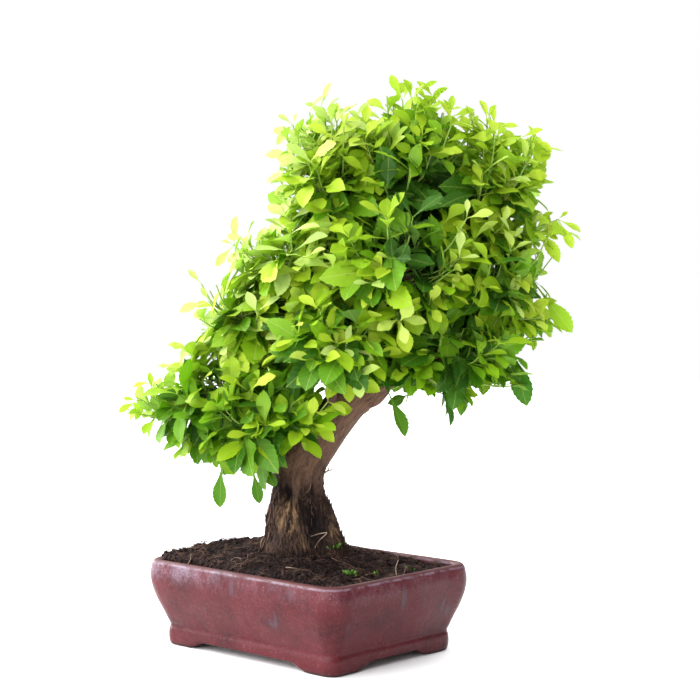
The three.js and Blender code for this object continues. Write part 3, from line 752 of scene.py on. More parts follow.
points, faces = merged([
    tube(paths["leader"], radii_along["leader"], TRUNK_SIDES, root_ribs),
    tube(paths["left"], radii_along["left"], TRUNK_SIDES // 2),
])
wood = new_piece("trunk_and_limbs", to_row(points), faces)
outwards(wood)
melt = wood.modifiers.new("one skin", "REMESH")
melt.mode, melt.voxel_size = "VOXEL", WOOD_VOXEL * MM
settle = wood.modifiers.new("settle", "SMOOTH")
settle.factor, settle.iterations = SETTLING, SETTLING_ROUNDS
finished(wood)

# The grain runs along the stems: each point's place across its stem and along it.
spine, reach = np.vstack(list(paths.values())), np.concatenate(list(radii_along.values()))
axes = [np.vstack(pair) for pair in zip(*map(frames, paths.values()))]
run = np.concatenate([
    np.concatenate([[0], np.cumsum(np.linalg.norm(np.diff(path, axis=0), axis=1))]) + start
    for path, start in zip(paths.values(), GRAIN_STARTS)
])
spots = kdtree.KDTree(len(spine))
for i, spot in enumerate(spine):
    spots.insert(spot, i)
spots.balance()
mesh = wood.data
count = len(mesh.vertices)
in_row = read_vectors(mesh.vertices, "co") / MM - POT_MIDDLE
across, away = across_away(in_row[:, 0], in_row[:, 1])
own = np.column_stack([across, away, in_row[:, 2]])
nearest = np.array([min(spots.find_n(p, 5), key=lambda hit: hit[2] / reach[hit[1]])[1] for p in own])
offset = own - spine[nearest]
sideways = [(offset * axes[k][nearest]).sum(1) for k in (1, 2)]
grain = np.column_stack([*sideways, run[nearest]])


def waves(places, stretch, shift=0):
    """Noise at each place, stretched across and along."""
    wide, tall = stretch
    return np.array([noise.noise((p[0] / wide + shift, p[1] / wide, p[2] / tall)) for p in places])


shaggy = SMOOTH_FROM - own[:, 2] + SHAGGY_EDGE * waves(grain, (9, 34), 4)
shaggy = np.clip(shaggy / (SMOOTH_FROM - SHAGGY_UP_TO), 0, 1)
ridges = 0.5 - np.abs(waves(grain, (11, 75)))
strands = 0.3 - np.abs(waves(grain, (4.2, 30), 7))
crumbs = waves(grain, (2.2, 7), 3)
relief = RIDGE_HEIGHT * ridges + STRAND_HEIGHT * strands + CRUMB_HEIGHT * crumbs
height = shaggy * (relief + LUMP_HEIGHT * waves(own, (16, 16), 5) - SHAG_SINK)
relief = SMOOTH_WAVES * waves(grain, (15, 40)) + SMOOTH_GRAIN * waves(grain, (3, 18), 2)
height += (1 - shaggy) * (relief - SMOOTH_SINK)
tan, dark = np.zeros(count), np.zeros(count)
for place, (wide, tall), depth, tan_share, dark_share in MARKS:
    gap = own - place
    flat_gap = np.hypot(gap[:, 0], np.clip(np.abs(gap[:, 1]) - MARK_LEEWAY, 0, None)) / wide
    near = np.exp(-((flat_gap**2 + (gap[:, 2] / tall) ** 2) * (1 + 0.5 * crumbs)) ** 1.5)
    height -= depth * near
    tan, dark = np.maximum(tan, near * tan_share), np.maximum(dark, near * dark_share)
loose_bark = shaggy * (own[:, 2] > LOOSE_FROM) * np.clip((LOOSE_UP_TO - own[:, 2]) / LOOSE_FADE, 0, 1)
loose_bark = loose_bark * np.clip(0.5 + 1.6 * waves(own, (8, 12), 9), 0, 1)
loose_bark = loose_bark * (1 - 0.75 * tan) * (1 - 0.9 * dark)
normals = read_vectors(mesh.vertex_normals, "vector")
moved = read_vectors(mesh.vertices, "co") + normals * height[:, None] * MM
mesh.vertices.foreach_set("co", moved.ravel())
write_attribute(mesh, "grain", "FLOAT_VECTOR", grain * MM)
write_attribute(mesh, "zones", "FLOAT_VECTOR", np.column_stack([tan, dark, shaggy]))

# The limbs, as far as the hub of each pad.
work = bmesh.new()
work.from_mesh(mesh)
grain_layer = work.verts.layers.float_vector["grain"]
for order, pad in enumerate(PADS):
    limb = limbs[pad.name]
    points, faces = tube(limb, limb_radii[pad.name], LIMB_SIDES)
    middles = limb[np.repeat(np.arange(LIMB_ROWS), LIMB_SIDES)]
    bumps = waves(points, (7, 12), order)
    points[:-2] += unit(points[:-2] - middles) * LIMB_BUMPS * bumps[:-2, None]
    made = [work.verts.new(place) for place in to_row(points) * MM]
    step = np.linalg.norm(limb[-1] - limb[0]) / LIMB_ROWS
    for i, vert in enumerate(made):
        turn = 2 * math.pi * (i % LIMB_SIDES) / LIMB_SIDES
        along = (i // LIMB_SIDES) * step + GRAIN_APART * order
        places = LIMB_GRAIN * math.cos(turn), LIMB_GRAIN * math.sin(turn), along
        vert[grain_layer] = [place * MM for place in places]
    for face in faces:
        work.faces.new([made[i] for i in face]).smooth = True
work.to_mesh(mesh)
work.free()

BARK_LIGHT, BARK_BROWN, BARK_DEEP = (0.17, 0.095, 0.06), (0.10, 0.053, 0.034), (0.04, 0.021, 0.015)
SHAG_BLACK, SHAG_BROWN, SHAG_PALE = (0.009, 0.006, 0.006), (0.078, 0.043, 0.031), (0.16, 0.10, 0.068)
WOOD_TAN = (0.36, 0.22, 0.115)
bark, tree, shader = new_material("bark", Specular_IOR_Level=0.15)
straight = tree.attribute("grain", "Vector")
tan, dark, shaggy = tree.split(tree.attribute("zones", "Vector"))
long_grain = tree.noise(straight, 190, 6, 0.72, stretch=(1, 1, 0.24), distortion=0.9)
fissures = tree.noise(straight, 520, 4, 0.7, stretch=(1, 1, 0.2))
scurf = tree.noise(straight, 900, 3, 0.7, stretch=(1, 1, 0.45))
blotches = tree.noise(straight, 38, 4, 0.6)
upper = tree.mix(long_grain.rise(0.35, 0.68), BARK_BROWN, BARK_LIGHT)
upper = tree.mix(fissures.rise(0.52, 0.38) * 0.6, upper, BARK_DEEP)
upper = tree.mix(blotches.rise(0.5, 0.75) * 0.35, upper, BARK_DEEP)
upper = tree.mix(scurf.rise(0.5, 0.68) * 0.5, upper, BARK_LIGHT)
lower = tree.mix(long_grain.rise(0.38, 0.66), SHAG_BLACK, SHAG_BROWN)
lower = tree.mix(fissures.rise(0.56, 0.7) * 0.5, lower, SHAG_PALE)
lower = tree.mix(blotches.rise(0.5, 0.64) * 0.5, lower, SHAG_BLACK)
lower = tree.mix(blotches.rise(0.5, 0.36) * scurf.rise(0.42, 0.6) * 0.45, lower, SHAG_PALE)
bare = tan * (0.15 + 0.75 * long_grain.rise(0.4, 0.6)) * (0.45 + 0.55 * fissures.rise(0.42, 0.6))
lower = tree.mix(bare, lower, WOOD_TAN)
# Painted shade: the dark marks, in the hollows above all, are painted near black.
lower = tree.mix(dark * (0.85 + 0.15 * blotches), lower, SHAG_BLACK)
colour = tree.mix(shaggy, upper, lower)
height = long_grain * (0.35 + 0.65 * shaggy) + fissures * (0.3 + 0.4 * shaggy)
bump = tree.bump(0.8, 0.0016, height)
feed(tree, shader, Base_Color=colour, Roughness=0.72 + 0.22 * shaggy, Normal=bump)
wood.data.materials.append(bark)
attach(wood, "root")
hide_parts("trunk_and_branches")

# Dead bark that stands off the foot of the trunk: flat flakes of it, and threads of its bast.
BARK_FLAKES, BARK_THREADS = 110000.0, 60000.0  # per square metre


def flake(number):
    rows = []
    for t in np.linspace(-0.5, 0.5, 5):
        wide = (0.085 + 0.02 * math.sin(number * 3 + 9 * t)) * (1 - 1.3 * abs(t))
        lift = 0.05 + (0.16 + 0.03 * number) * (t + 0.2) ** 2
        rows.append([
            (-wide, t, lift), (0.2 * wide, t, lift + 0.035), (wide, t, lift - 0.01), (0, t, lift - 0.03),
        ])
    return skin([np.array(row) for row in rows])


def thread(number):
    t = np.linspace(-0.5, 0.5, 7)
    lift = 0.04 + (0.2 + 0.04 * number) * (t + 0.1) ** 2
    path = np.column_stack([0.07 * np.sin(7 * t + number), t, lift])
    return thin_tube(path, 0.02 * (1 - 1.5 * np.abs(t)), 3)


foot_cover = np.concatenate([loose_bark, np.zeros(len(wood.data.vertices) - count)])
dead_bark = plain_noise_material("dead_bark", (0.010, 0.007, 0.007), (0.12, 0.07, 0.05), 40)
strewn(
    "bark_flakes", wood, foot_cover, collection_of("bark_flakes", flake), dead_bark, "bark",
    Density=BARK_FLAKES, Smallest=0.004, Largest=0.013, Spin=0.3, Tilt=0.18, Seed=31,
)
strewn(
    "bark_threads", wood, foot_cover, collection_of("bark_threads", thread), dry_fibre, "bark",
    Density=BARK_THREADS, Smallest=0.006, Largest=0.017, Spin=0.9, Tilt=0.25, Seed=37,
)


# Bare rootlets, dry stalks, broken sprouts and seedlings on the soil and at the trunk's foot. Each
# strand has what carries it, its radius and its points: a place in the tree's own frame, and how
# far that stands off the carrier, or None where it hangs free.
STRANDS = [
    (wood, 0.55, ((12.6, -40, 121), 0.3), ((15.4, -40, 120.6), 0.8), ((17, -40, 121.6), 1.2),
     ((17, -40, 118), 1.2), ((15, -41, 115.6), 0.8), ((13, -42, 112), 0.3)),
    (wood, 0.55, ((5.3, -24, 168), 0.3), ((3.3, -25, 164), 1.6), ((-0.7, -27, 160), 0.3)),
    (wood, 0.6, ((-50, -16, 104), 0.4), ((-46, -14, 110), 2.4), ((-43, -12, 115), 0.3)),
    (wood, 0.45, ((-47, -18, 102), 0.4), ((-43, -17, 108), 1.8), ((-41, -15, 111), 0.3)),
    (soil, 0.6, ((-121, -20, 88), 0), ((-117, -20, 92.5), None), ((-116.5, -20, 98), None)),
    (soil, 0.45, ((25, -40, 101), 0.5), ((31, -46, 97), 1.2), ((35, -60, 92), 0.4), ((36, -70, 90), 0)),
    (soil, 0.55, ((89, -72, 84), 0), ((88, -72, 93), None), ((90.5, -72, 100.5), None)),
    (soil, 0.5, ((95, -66, 84), 0), ((97.5, -66, 91), None), ((96.5, -67, 95), None)),
    (soil, 0.6, ((58, -82, 85), 0.2), ((64, -80, 86), 2.5), ((71, -79, 85), 0.2)),
    (soil, 0.5, ((-76, -36, 92), 0.2), ((-70, -37, 92), 2.2), ((-62, -41, 93), 0.2)),
    (soil, 0.5, ((-20, -74, 92), 0.2), ((-12, -77, 92), 2.4), ((-6, -74, 92), 0.2)),
    (soil, 0.5, ((40, 60, 92), 0.2), ((48, 66, 92), 2.8), ((60, 64, 90), 0.2)),
    (soil, 0.5, ((-50, 50, 94), 0.2), ((-58, 58, 94), 2.4), ((-70, 54, 92), 0.2)),
]
BROKEN_SPROUTS = [
    (wood, 1.1, ((17, -10, 177), -0.5), ((21, -12, 181), None), ((22.5, -13, 186), None)),
    (wood, 0.8, ((20, -12, 180), None), ((24.5, -12, 181.5), None), ((26, -11, 185), None)),
    (wood, 1.6, ((-31, -14, 198), -1), ((-41.7, -24, 207), None), ((-50.6, -26, 214), None)),
]
STRAND_STEPS, STRAND_TAPER = 5, 0.55
# Seedlings: what they stand on, their middle, how many leaves, their spread and a leaf's length.
SEEDLINGS = [
    (wood, (28.3, -33, 105), 10, 4.5, 4.6), (soil, (43.3, -87, 87), 16, 4.5, 4.6),
    (soil, (70, -77, 85), 4, 3.5, 3.6), (soil, (104, -34, 84), 4, 4, 3.4), (soil, (30, 88, 86), 12, 5, 5),
]
SEEDLING_SEED, SEEDLING_SUNK, SEEDLING_LEAN, SEEDLING_OUT = 29, -0.3, (0.2, 1.1), (0.1, 1)
SEEDLING_STALK, SEEDLING_BLADE, BLADE_HEART = (0.3, 0.9), (0.7, 1.2), 0.45
SEEDLING_WIDE, SEEDLING_THICK = 0.4, 0.08
# A seedling's leaf: base, tip, its two sides, and its upper and lower face's middle.
SEEDLING_FACES = [[0, 2, 4], [2, 1, 4], [1, 3, 4], [3, 0, 4], [2, 0, 5], [1, 2, 5], [3, 1, 5], [0, 3, 5]]


def resting(carrier, place, lift):
    """Where a point of a strand lies in the row's frame."""
    row = to_row(place)[0]
    if lift is None:
        return row
    hit, spot, normal, _ = carrier.closest_point_on_mesh(Vector(row * MM))
    return np.array(spot + normal * lift * MM) / MM


def strand_piece(name, table, sides, material):
    parts = []
    for carrier, radius, *marks in table:
        path = through([resting(carrier, place, lift) for place, lift in marks], STRAND_STEPS)
        taper = 1 - STRAND_TAPER * np.linspace(0, 1, len(path))
        parts.append(thin_tube(path, radius * taper, sides))
    piece = new_piece(name, *merged(parts))
    outwards(piece)
    piece.data.materials.append(material)
    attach(piece, "root")


bpy.context.view_layer.update()
pale_root = plain_noise_material("pale_root", (0.16, 0.1, 0.07), (0.44, 0.34, 0.26), 50)
sprout_bark = plain_noise_material("sprout_bark", (0.07, 0.06, 0.03), (0.2, 0.17, 0.09), 60)
strand_piece("rootlets", STRANDS, 6, pale_root)
strand_piece("broken_sprouts", BROKEN_SPROUTS, 7, sprout_bark)
parts, sowing = [], np.random.default_rng(SEEDLING_SEED)
for carrier, middle, leaf_count, spread, length in SEEDLINGS:
    for _ in range(leaf_count):
        turn, lean = sowing.uniform(0, 2 * math.pi), sowing.uniform(*SEEDLING_LEAN)
        out = np.array([math.cos(turn), math.sin(turn), 0])
        middle_out = np.array(middle) + out * sowing.uniform(*SEEDLING_OUT) * spread
        base = resting(carrier, middle_out, SEEDLING_SUNK)
        rise = unit(out * math.sin(lean) + (0, 0, math.cos(lean)))
        side = unit(np.cross(rise, (out[1], -out[0], 0.4))) * length * SEEDLING_WIDE
        stalk = rise * length * sowing.uniform(*SEEDLING_STALK)
        blade = length * sowing.uniform(*SEEDLING_BLADE)
        heart = base + stalk + rise * blade * BLADE_HEART
        over = unit(np.cross(rise, side)) * length * SEEDLING_THICK
        tip = base + stalk + rise * blade
        places = np.array([base, tip, heart - side, heart + side, heart + over, heart - over])
        parts.append((places, SEEDLING_FACES))
seedlings = new_piece("seedlings", *merged(parts))
outwards(seedlings)
seedling_green = plain_noise_material("seedling_green", (0.028, 0.08, 0.012), (0.12, 0.22, 0.03), 90, 0.2)
seedlings.data.materials.append(seedling_green)
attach(seedlings, "root")


# The foliage: slender shoots with opposite pairs of spoon-shaped, toothed leaves, each pair at a
# right angle to the last. Old leaves inside are large and dark, young ones at the tips are lime.
# Each leaf's green follows its age together with painted light and shade: paler on the lit left
# side, darker in the hollows and under the crown. One Geometry Nodes tree grows every pad from the
# places that the growth rule gives.
STRAYS = [
    ("crown", (86, -20, 550)), ("crown_left", (30, -10, 532)), ("crown_left", (-8, -20, 508)),
    ("left_mid", (-64, -44, 404)), ("left_shoulder", (-84, -10, 356)), ("low_left", (-158, -14, 256)),
    ("low_left", (-84, -22, 178)), ("crown_right", (214, -8, 492)), ("right_mid", (240, -24, 416)),
    ("low_right", (198, -30, 268)), ("low_right", (242, -4, 330)), ("low_right", (124, -44, 272)),
    ("crown_right", (182, -26, 512)),
]
TWIG_ROOTS, TWIG_START, SHOOT_RISE, STEM_BEND, LINE_STEPS = (0.6, 0.99), 0.3, 0.22, 0.5, 4
LOWEST_SLOPE, BURIED, PAD_SPIN = -0.5, 0.97, 1.7
CROWN_MIDDLE = (70, 0)
SEED, SEED_STEP = 4217, 97
PACKED_AGE, NODE_LEEWAY = 0.15, 0.003
# How a shoot carries its leaves: how many pairs, where the first and the last sit along it, the
# lengths of its oldest and youngest leaves, and how far the lengths vary.
LeafRule = namedtuple("LeafRule", "pairs shares lengths jitter")
PACKED_LEAVES = LeafRule(3, (0.24, 0.97), (56, 36), (0.82, 1.14))
FILL_LEAVES = [LeafRule(pairs, (0.12, 1.0), (53, 27), (0.72, 1.28)) for pairs in (5, 4)]
EDGE_LEAVES = LeafRule(4, (0.3, 1.0), (42, 25), (0.75, 1.15))
LEAF_SPREAD, SPREAD_JITTER, ROLL_JITTER = (66, 40), 9, 0.45  # degrees, degrees and radians
LEAF_DROOP, LEAF_OUTWARDS, FACE_JITTER = (0.1, 0.4), (0.3, 1.1), 0.3
# The filling shoots round each pad, outer ones and inner ones: how many, how far out their tips
# lie, and how deep in another pad they are left out. The pads low on the tree droop more.
FILL_COUNTS, FILL_DEPTHS, FILL_BURIED = (20, 12), ((0.84, 1.03), (0.45, 0.72)), (0.72, 0.5)
FILL_SPIN, FILL_JITTER, FILL_OPEN, INNER_AGE = 0.8, 0.18, (0.5, 1.6), 0.45
LOW_PAD_UNDER, FILL_DROOP, FILL_LOWEST = 340, (1, 1.6), (-0.7, -0.85)
FILL_PULLS, FILL_PULL = 7, 0.14  # a tip too near the crown's edge or in a hollow is drawn inwards
LEFT_PART, CLEAR_OF_EDGE_LEFT, CLEAR_OF_EDGE = 20, -30, -20
SHOOT_AGES, LEAF_AGE_JITTER = (-0.14, 0.3), 0.07
REACH_PAST_BOX = 14
# The crown's edge as it is seen from the front: across and up. Shoots line it and stay inside it.
CROWN_EDGE = np.array([
    (-170, 246), (-160, 261), (-149, 271), (-137, 281), (-132, 295), (-118, 305), (-113, 320), (-106, 335),
    (-92, 344), (-80, 355), (-79, 370), (-75, 386), (-79, 397), (-73, 407), (-61, 416), (-46, 425),
    (-41, 440), (-39, 456), (-37, 470), (-32, 488), (-26, 499), (-18, 507), (-20, 519), (-15, 528),
    (-3, 535), (10, 548), (33, 549), (53, 546), (68, 546), (86, 550), (97, 559), (112, 561), (128, 558),
    (147, 555), (164, 547), (187, 538), (203, 524), (224, 516), (239, 508), (243, 492), (238, 474),
    (231, 457), (221, 447), (236, 440), (253, 432), (261, 423), (247, 413), (234, 403), (226, 390),
    (229, 376), (238, 365), (244, 353), (249, 339), (246, 328), (236, 318), (221, 308), (214, 297),
    (215, 282), (212, 268), (199, 274), (187, 278), (176, 263), (167, 256), (156, 242), (145, 246),
    (133, 260), (123, 270), (112, 267), (101, 263), (91, 262), (81, 265), (69, 278), (45, 268),
    (31, 247), (17, 214), (-2, 203), (-18, 196), (-33, 182), (-48, 170), (-61, 182), (-70, 188),
    (-84, 187), (-95, 196), (-111, 203), (-126, 197), (-138, 208), (-134, 220), (-150, 231), (-165, 238),
], float)
# The photo's view, from which the edge and the hollows are set: distance, aim and rise.
SEEN_FROM, SEEN_MIDDLE, SEEN_RISE = 1740, np.array([43.3, 302]), math.radians(2.5)
FILL_LEEWAY, PACKED_LEEWAY, OUTLIER_LEEWAY = 3, 9, 18  # how far past the edge leaves may reach
BLADE_WIDEST, BLADE_HALF_WIDTH = 0.62, 0.18
RIM_STEP, RIM_INSET, RIM_DEPTH, RIM_BACK, RIM_FRONTAL = 17, (10, 26), 34, 0.7, 1.8
RIM_DROOP, RIM_OPEN = 0.9, (0.4, 1.2)
# More rows of shoots under the crown's top: above which height, how far in, how much further to
# the front, and how much older.
TOP_ROW_ABOVE, TOP_ROWS, TOP_ROW_FRONT, TOP_ROW_OLDER = 490, ((18, 32), (34, 56)), 1.6, 0.06
EDGE_BAND, EDGE_BAND_UP_TO, EDGE_THINNED = 30, 60, 0.48
# Shoots that stand out of that edge or face the front: tip, droop of the leaves, and older by; the
# low ones under the crown are made older, so darker, as painted shade.
OUTLIERS = [
    ((88, -6, 552), 0, 0), ((121, -14, 549), 0, 0), ((105, -20, 551), 0.3, 0), ((18, -10, 541), 0, 0),
    ((180, -16, 532), 0, 0), ((166, -20, 524), 0.3, 0), ((-19, -12, 494), 0.5, 0),
    ((-23, -12, 526), 0.3, 0), ((-20, -10, 503), 0.5, 0), ((3, -18, 540), 0.3, 0),
    ((-60, -20, 412), 0, 0), ((-70, -26, 393), 1, 0), ((-98, -6, 362), 0, 0), ((-108, -12, 334), 0.4, 0),
    ((-116, -10, 302), 0.3, 0), ((-128, -14, 284), 0.2, 0), ((-180, -14, 243), 0.6, 0),
    ((-172, -20, 256), 0.2, 0), ((-152, -10, 268), 0, 0), ((-160, -24, 238), 1, 0),
    ((-92, -26, 192), 3, 0.2), ((-49, -48, 182), 4, 0.3), ((-127, -10, 203), 2.5, 0.1),
    ((258, 10, 424), 0.8, 0), ((248, 10, 395), 1.5, 0.15), ((240, 8, 478), 0.6, 0.1),
    ((234, 6, 503), 0.3, 0.05), ((228, 2, 515), 0.3, 0.05), ((184, -4, 536), 0, 0.05),
    ((250, 8, 334), 2, 0.1), ((230, -2, 322), 1.5, 0.2), ((218, -8, 268), 4, 0.35),
    ((153, -20, 258), 3.5, 0.45), ((100, -10, 250), 3, 0.4),
    ((140, -84, 360), 0.6, -0.15), ((118, -90, 348), 0.8, -0.15), ((128, -84, 377), 0.5, -0.15),
    ((100, -60, 292), 2, 0), ((114, -62, 302), 1.5, -0.05), ((197, -40, 470), 0.4, -0.1),
    ((192, -50, 424), 0.5, -0.1), ((197, -50, 352), 0.8, -0.1), ((172, -60, 312), 1, -0.05),
    ((80, -14, 556), 0.2, 0), ((128, -18, 552), 0.2, 0), ((39, -100, 308), 1, -0.25),
    ((91, -108, 334), 0.8, -0.25), ((155, -88, 432), 0.3, -0.2), ((148, -88, 394), 0.5, -0.25),
    ((48, -98, 280), 1.5, -0.2), ((6, -86, 236), 2.5, -0.15), ((22, -90, 256), 1.5, -0.2),
]
SPRAY_DEPTH, SPRAY_SIDEWAYS, SPRAY_UPWARDS, SPRAY_LENGTH = (-6, 4), (-0.5, 0.5), (0.2, 0.9), 1.04
SPRAY_LEAF = 1.05  # such a leaf's share of the way along its shoot, past all others
# Sprays that end in single slender leaves clear of the crown: the stem's end, how much older, and
# each leaf's tip, across and up. The low sprays under the crown are made older, so darker, as
# painted shade.
SPRAYS = [
    ((-73, -12, 408), 0, (-71, 434), (-85, 413), (-91, 388)), ((-106, -10, 369), 0, (-118, 383)),
    ((-98, -10, 351), 0, (-128, 343), (-105, 365)), ((-76, -10, 368), 0, (-87, 359)),
    ((-156, -10, 260), 0, (-158, 280)), ((-170, -12, 252), 0, (-184, 254), (-189, 241)),
    ((-160, -14, 251), 0.05, (-172, 234)), ((-112, -14, 204), 0.3, (-113, 189)),
    ((-95, -16, 204), 0.35, (-91, 184)), ((-85, -18, 198), 0.45, (-82, 176)),
    ((-85, -18, 191), 0.55, (-89, 146)), ((-54, -24, 186), 0.6, (-48, 150)),
    ((210, 4, 432), 0.1, (233, 442), (227, 407)), ((229, 6, 429), 0.1, (255, 393), (248, 442)),
    ((254, 8, 434), 0.05, (276, 423), (269, 406), (264, 442)), ((233, 6, 366), 0.42, (265, 323)),
    ((222, 0, 344), 0.3, (237, 318), (252, 353)), ((206, -6, 317), 0.2, (229, 307)),
    ((203, -8, 312), 0.7, (221, 246)), ((192, -14, 308), 0.6, (199, 272)),
    ((182, -18, 310), 0.6, (176, 260)), ((222, 2, 350), 0.4, (246, 322)),
    ((81, -14, 262), 0.5, (100, 217)), ((146, -20, 292), 0.45, (157, 237)),
    ((185, -20, 300), 0.4, (175, 259)),
    ((14, -10, 545), 0, (23, 569), (-1, 549)), ((-14, -10, 528), 0, (-27, 538), (-30, 509), (-10, 539)),
    ((96, -12, 551), 0.1, (103, 569), (85, 576)), ((46, -12, 534), 0, (62, 549)),
    ((110, -14, 560), 0.1, (129, 571), (130, 549)), ((143, -14, 535), 0.1, (166, 543), (146, 557)),
    ((188, -8, 526), 0.1, (186, 546), (209, 527), (209, 511)),
    ((214, -4, 515), 0.1, (228, 511), (235, 524)), ((225, -4, 517), 0.1, (244, 503), (232, 505)),
]
# Hollows between the pads as seen from the front, where leaves are thinned out and the rest are
# painted an old, dark green as painted shade: across, up and radius.
HOLLOWS = [
    (106, 452, 21), (126, 468, 24), (147, 461, 19), (117, 435, 16), (102, 402, 19), (101, 386, 14),
    (162, 340, 12), (146, 294, 13), (-16, 271, 12), (185, 380, 11), (43, 347, 10), (73, 359, 8),
    (118, 329, 8), (-25, 337, 9), (-43, 267, 8), (-60, 292, 8), (88, 468, 12), (176, 450, 12),
    (124, 382, 11), (200, 444, 9), (196, 396, 9),
]
HOLLOW_FRONT, HOLLOW_PAINTED_SHADE_AGE, HOLLOW_THINNED = 30, 0.88, 0.45
# Painted light: how much paler the leaves of the lit left side and of the right edge are painted,
# as a shift towards the ramp's young end: across and up where that starts and ends.
PAINTED_LIGHT_LEFT, PAINTED_LIGHT_ACROSS, PAINTED_LIGHT_UP, PAINTED_LIGHT_LEAST = 0.62, (-30, 110), (250, 385), 0.03
PAINTED_LIGHT_RIGHT, PAINTED_LIGHT_RIGHT_ACROSS = 0.2, (110, 210)
Leaf = namedtuple("Leaf", "at axis face length share")


class Draws:
    """Even draws between 0 and 1 that are the same on every run."""

    def __init__(self, seed):
        self.state = seed

    def between(self, start, end):
        self.state = self.state * 16807 % 2147483647
        return start + (end - start) * self.state / 2147483647


def mixed(a, b, share):
    return a + (b - a) * share


def direction(index, count, spin):
    rise = 1 - 2 * (index + 0.5) / count
    flat, turn = math.sqrt(1 - rise * rise), index * math.pi * (3 - math.sqrt(5)) + spin
    return np.array([flat * math.cos(turn), flat * math.sin(turn), rise])


def depth_in(place, pad):
    return np.linalg.norm((place - np.array(pad.middle)) / pad.radii)


def nearest_pad(place):
    return min(PADS, key=lambda pad: depth_in(place, pad))


def buried(tip, own_pad, depth):
    return any(pad is not own_pad and depth_in(tip, pad) < depth for pad in PADS)


def shoot_to(pad, tip):
    """A shoot from its pad's limb to its tip: the points that its stem runs through."""
    limb = limbs[pad.name]
    end_heading = unit(limb[-1] - limb[-2])
    onward = unit(tip - limb[-1]).dot(end_heading)
    root = place_at(limb, mixed(*TWIG_ROOTS, (onward + 1) / 2))
    aim = tip - (0, 0, SHOOT_RISE * np.linalg.norm(tip - root))
    start = root + (aim - root) * TWIG_START
    bend = start + unit(start - root) * STEM_BEND * np.linalg.norm(tip - start)
    return [root, start, bend, tip]


def grow_leaves(line, tip, draws, rule, droop, open_up=0, frontal=0):
    """Leaves in opposite pairs along a shoot, each pair at a right angle to the last."""
    leaves = []
    outward = tip - (*CROWN_MIDDLE, 0)
    outward[2] = 0
    outward = unit(outward)
    for pair in range(rule.pairs):
        share = mixed(*rule.shares, pair / (rule.pairs - 1))
        spot = (1 + 2 * share) / 3
        at = place_at(line, spot)
        heading = unit(place_at(line, min(spot + 0.02, 1)) - place_at(line, spot - 0.02))
        side = unit(np.cross(heading, (0, 0, 1)))
        over = np.cross(side, heading)
        for half in (0, 1):
            roll = math.pi * (0.5 * (pair % 2) + half) + draws.between(-ROLL_JITTER, ROLL_JITTER)
            spread = mixed(*LEAF_SPREAD, share) + draws.between(-SPREAD_JITTER, SPREAD_JITTER)
            spread = math.radians(spread)
            aside = side * math.cos(roll) + over * math.sin(roll)
            axis = heading * math.cos(spread) + aside * math.sin(spread)
            axis[2] -= draws.between(*LEAF_DROOP) * (1.2 - share) * droop
            axis = unit(axis)
            face = np.array([0, 0, 1.0]) + outward * draws.between(*LEAF_OUTWARDS)
            face[0] += draws.between(-FACE_JITTER, FACE_JITTER)
            face[1] += draws.between(-FACE_JITTER, FACE_JITTER)
            face += heading * open_up
            if frontal:
                face[1] -= draws.between(0, frontal)
            face = unit(face - axis * face.dot(axis))
            length = mixed(*rule.lengths, share) * draws.between(*rule.jitter)
            leaves.append(Leaf(at, axis, face, length, share))
    return leaves


def past_edge(place):
    """How far outside the crown's edge a place is as the camera sees it; inside it is negative."""
    near = SEEN_FROM / (SEEN_FROM + place[1])
    seen = np.array([place[0], place[2] + place[1] * math.sin(SEEN_RISE)])
    spot = SEEN_MIDDLE + (seen - SEEN_MIDDLE) * near
    start = CROWN_EDGE
    step = np.roll(start, -1, 0) - start
    share = np.clip(((spot - start) * step).sum(1) / (step**2).sum(1), 0, 1)
    gap = np.linalg.norm(start + step * share[:, None] - spot, axis=1).min()
    crossed = (start[:, 1] > spot[1]) != (start[:, 1] + step[:, 1] > spot[1])
    rise = np.where(crossed, step[:, 1], 1)
    inside = (crossed & (spot[0] < start[:, 0] + step[:, 0] * (spot[1] - start[:, 1]) / rise)).sum() % 2
    return -gap if inside else gap


def blade_past_edge(leaf):
    """The same for a leaf: the outermost of its tip and of its blade's two sides."""
    tip = leaf.at + leaf.axis * leaf.length
    widest = leaf.at + leaf.axis * leaf.length * BLADE_WIDEST
    side = np.cross(leaf.axis, leaf.face) * leaf.length * BLADE_HALF_WIDTH
    return max(past_edge(tip), past_edge(widest + side), past_edge(widest - side))


def in_hollow(place):
    return place[1] < HOLLOW_FRONT and any(
        math.hypot(place[0] - across, place[2] - up) < radius for across, up, radius in HOLLOWS
    )


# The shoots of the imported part, in the same order and with the same draws. Each is kept with its
# leaves and how much older they are, and each pad notes the nodes that it stands for.
shoots, covered = {pad.name: [] for pad in PADS}, {pad.name: [] for pad in PADS}
planned = []
for order, pad in enumerate(PADS):
    for index in range(pad.directions):
        heading = direction(index, pad.directions, order * PAD_SPIN)
        tip = heading * pad.radii + pad.middle
        if heading[2] >= LOWEST_SLOPE and not buried(tip, pad, BURIED):
            planned.append((pad, tip))
pad_named = {pad.name: pad for pad in PADS}
planned += [(pad_named[name], np.array(tip, float)) for name, tip in STRAYS]
node_boxes = sorted((name, *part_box(name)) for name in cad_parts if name.startswith("shoot_"))
for number, (pad, tip) in enumerate(planned):
    corners = shoot_to(pad, tip)
    line = through(corners, LINE_STEPS)
    leaves = grow_leaves(line, tip, Draws(SEED + SEED_STEP * number), PACKED_LEAVES, 1)
    leaves = [leaf for leaf in leaves if blade_past_edge(leaf) < PACKED_LEEWAY]
    shoots[pad.name].append((line, leaves, PACKED_AGE))
    if node_boxes:
        ends = to_row([corners[1], tip]) * MM
        name, low, high = node_boxes[0]
        above, below = ends > np.array(low) - NODE_LEEWAY, ends < np.array(high) + NODE_LEEWAY
        if (above & below).all():
            covered[pad.name].append(name)
            node_boxes.pop(0)

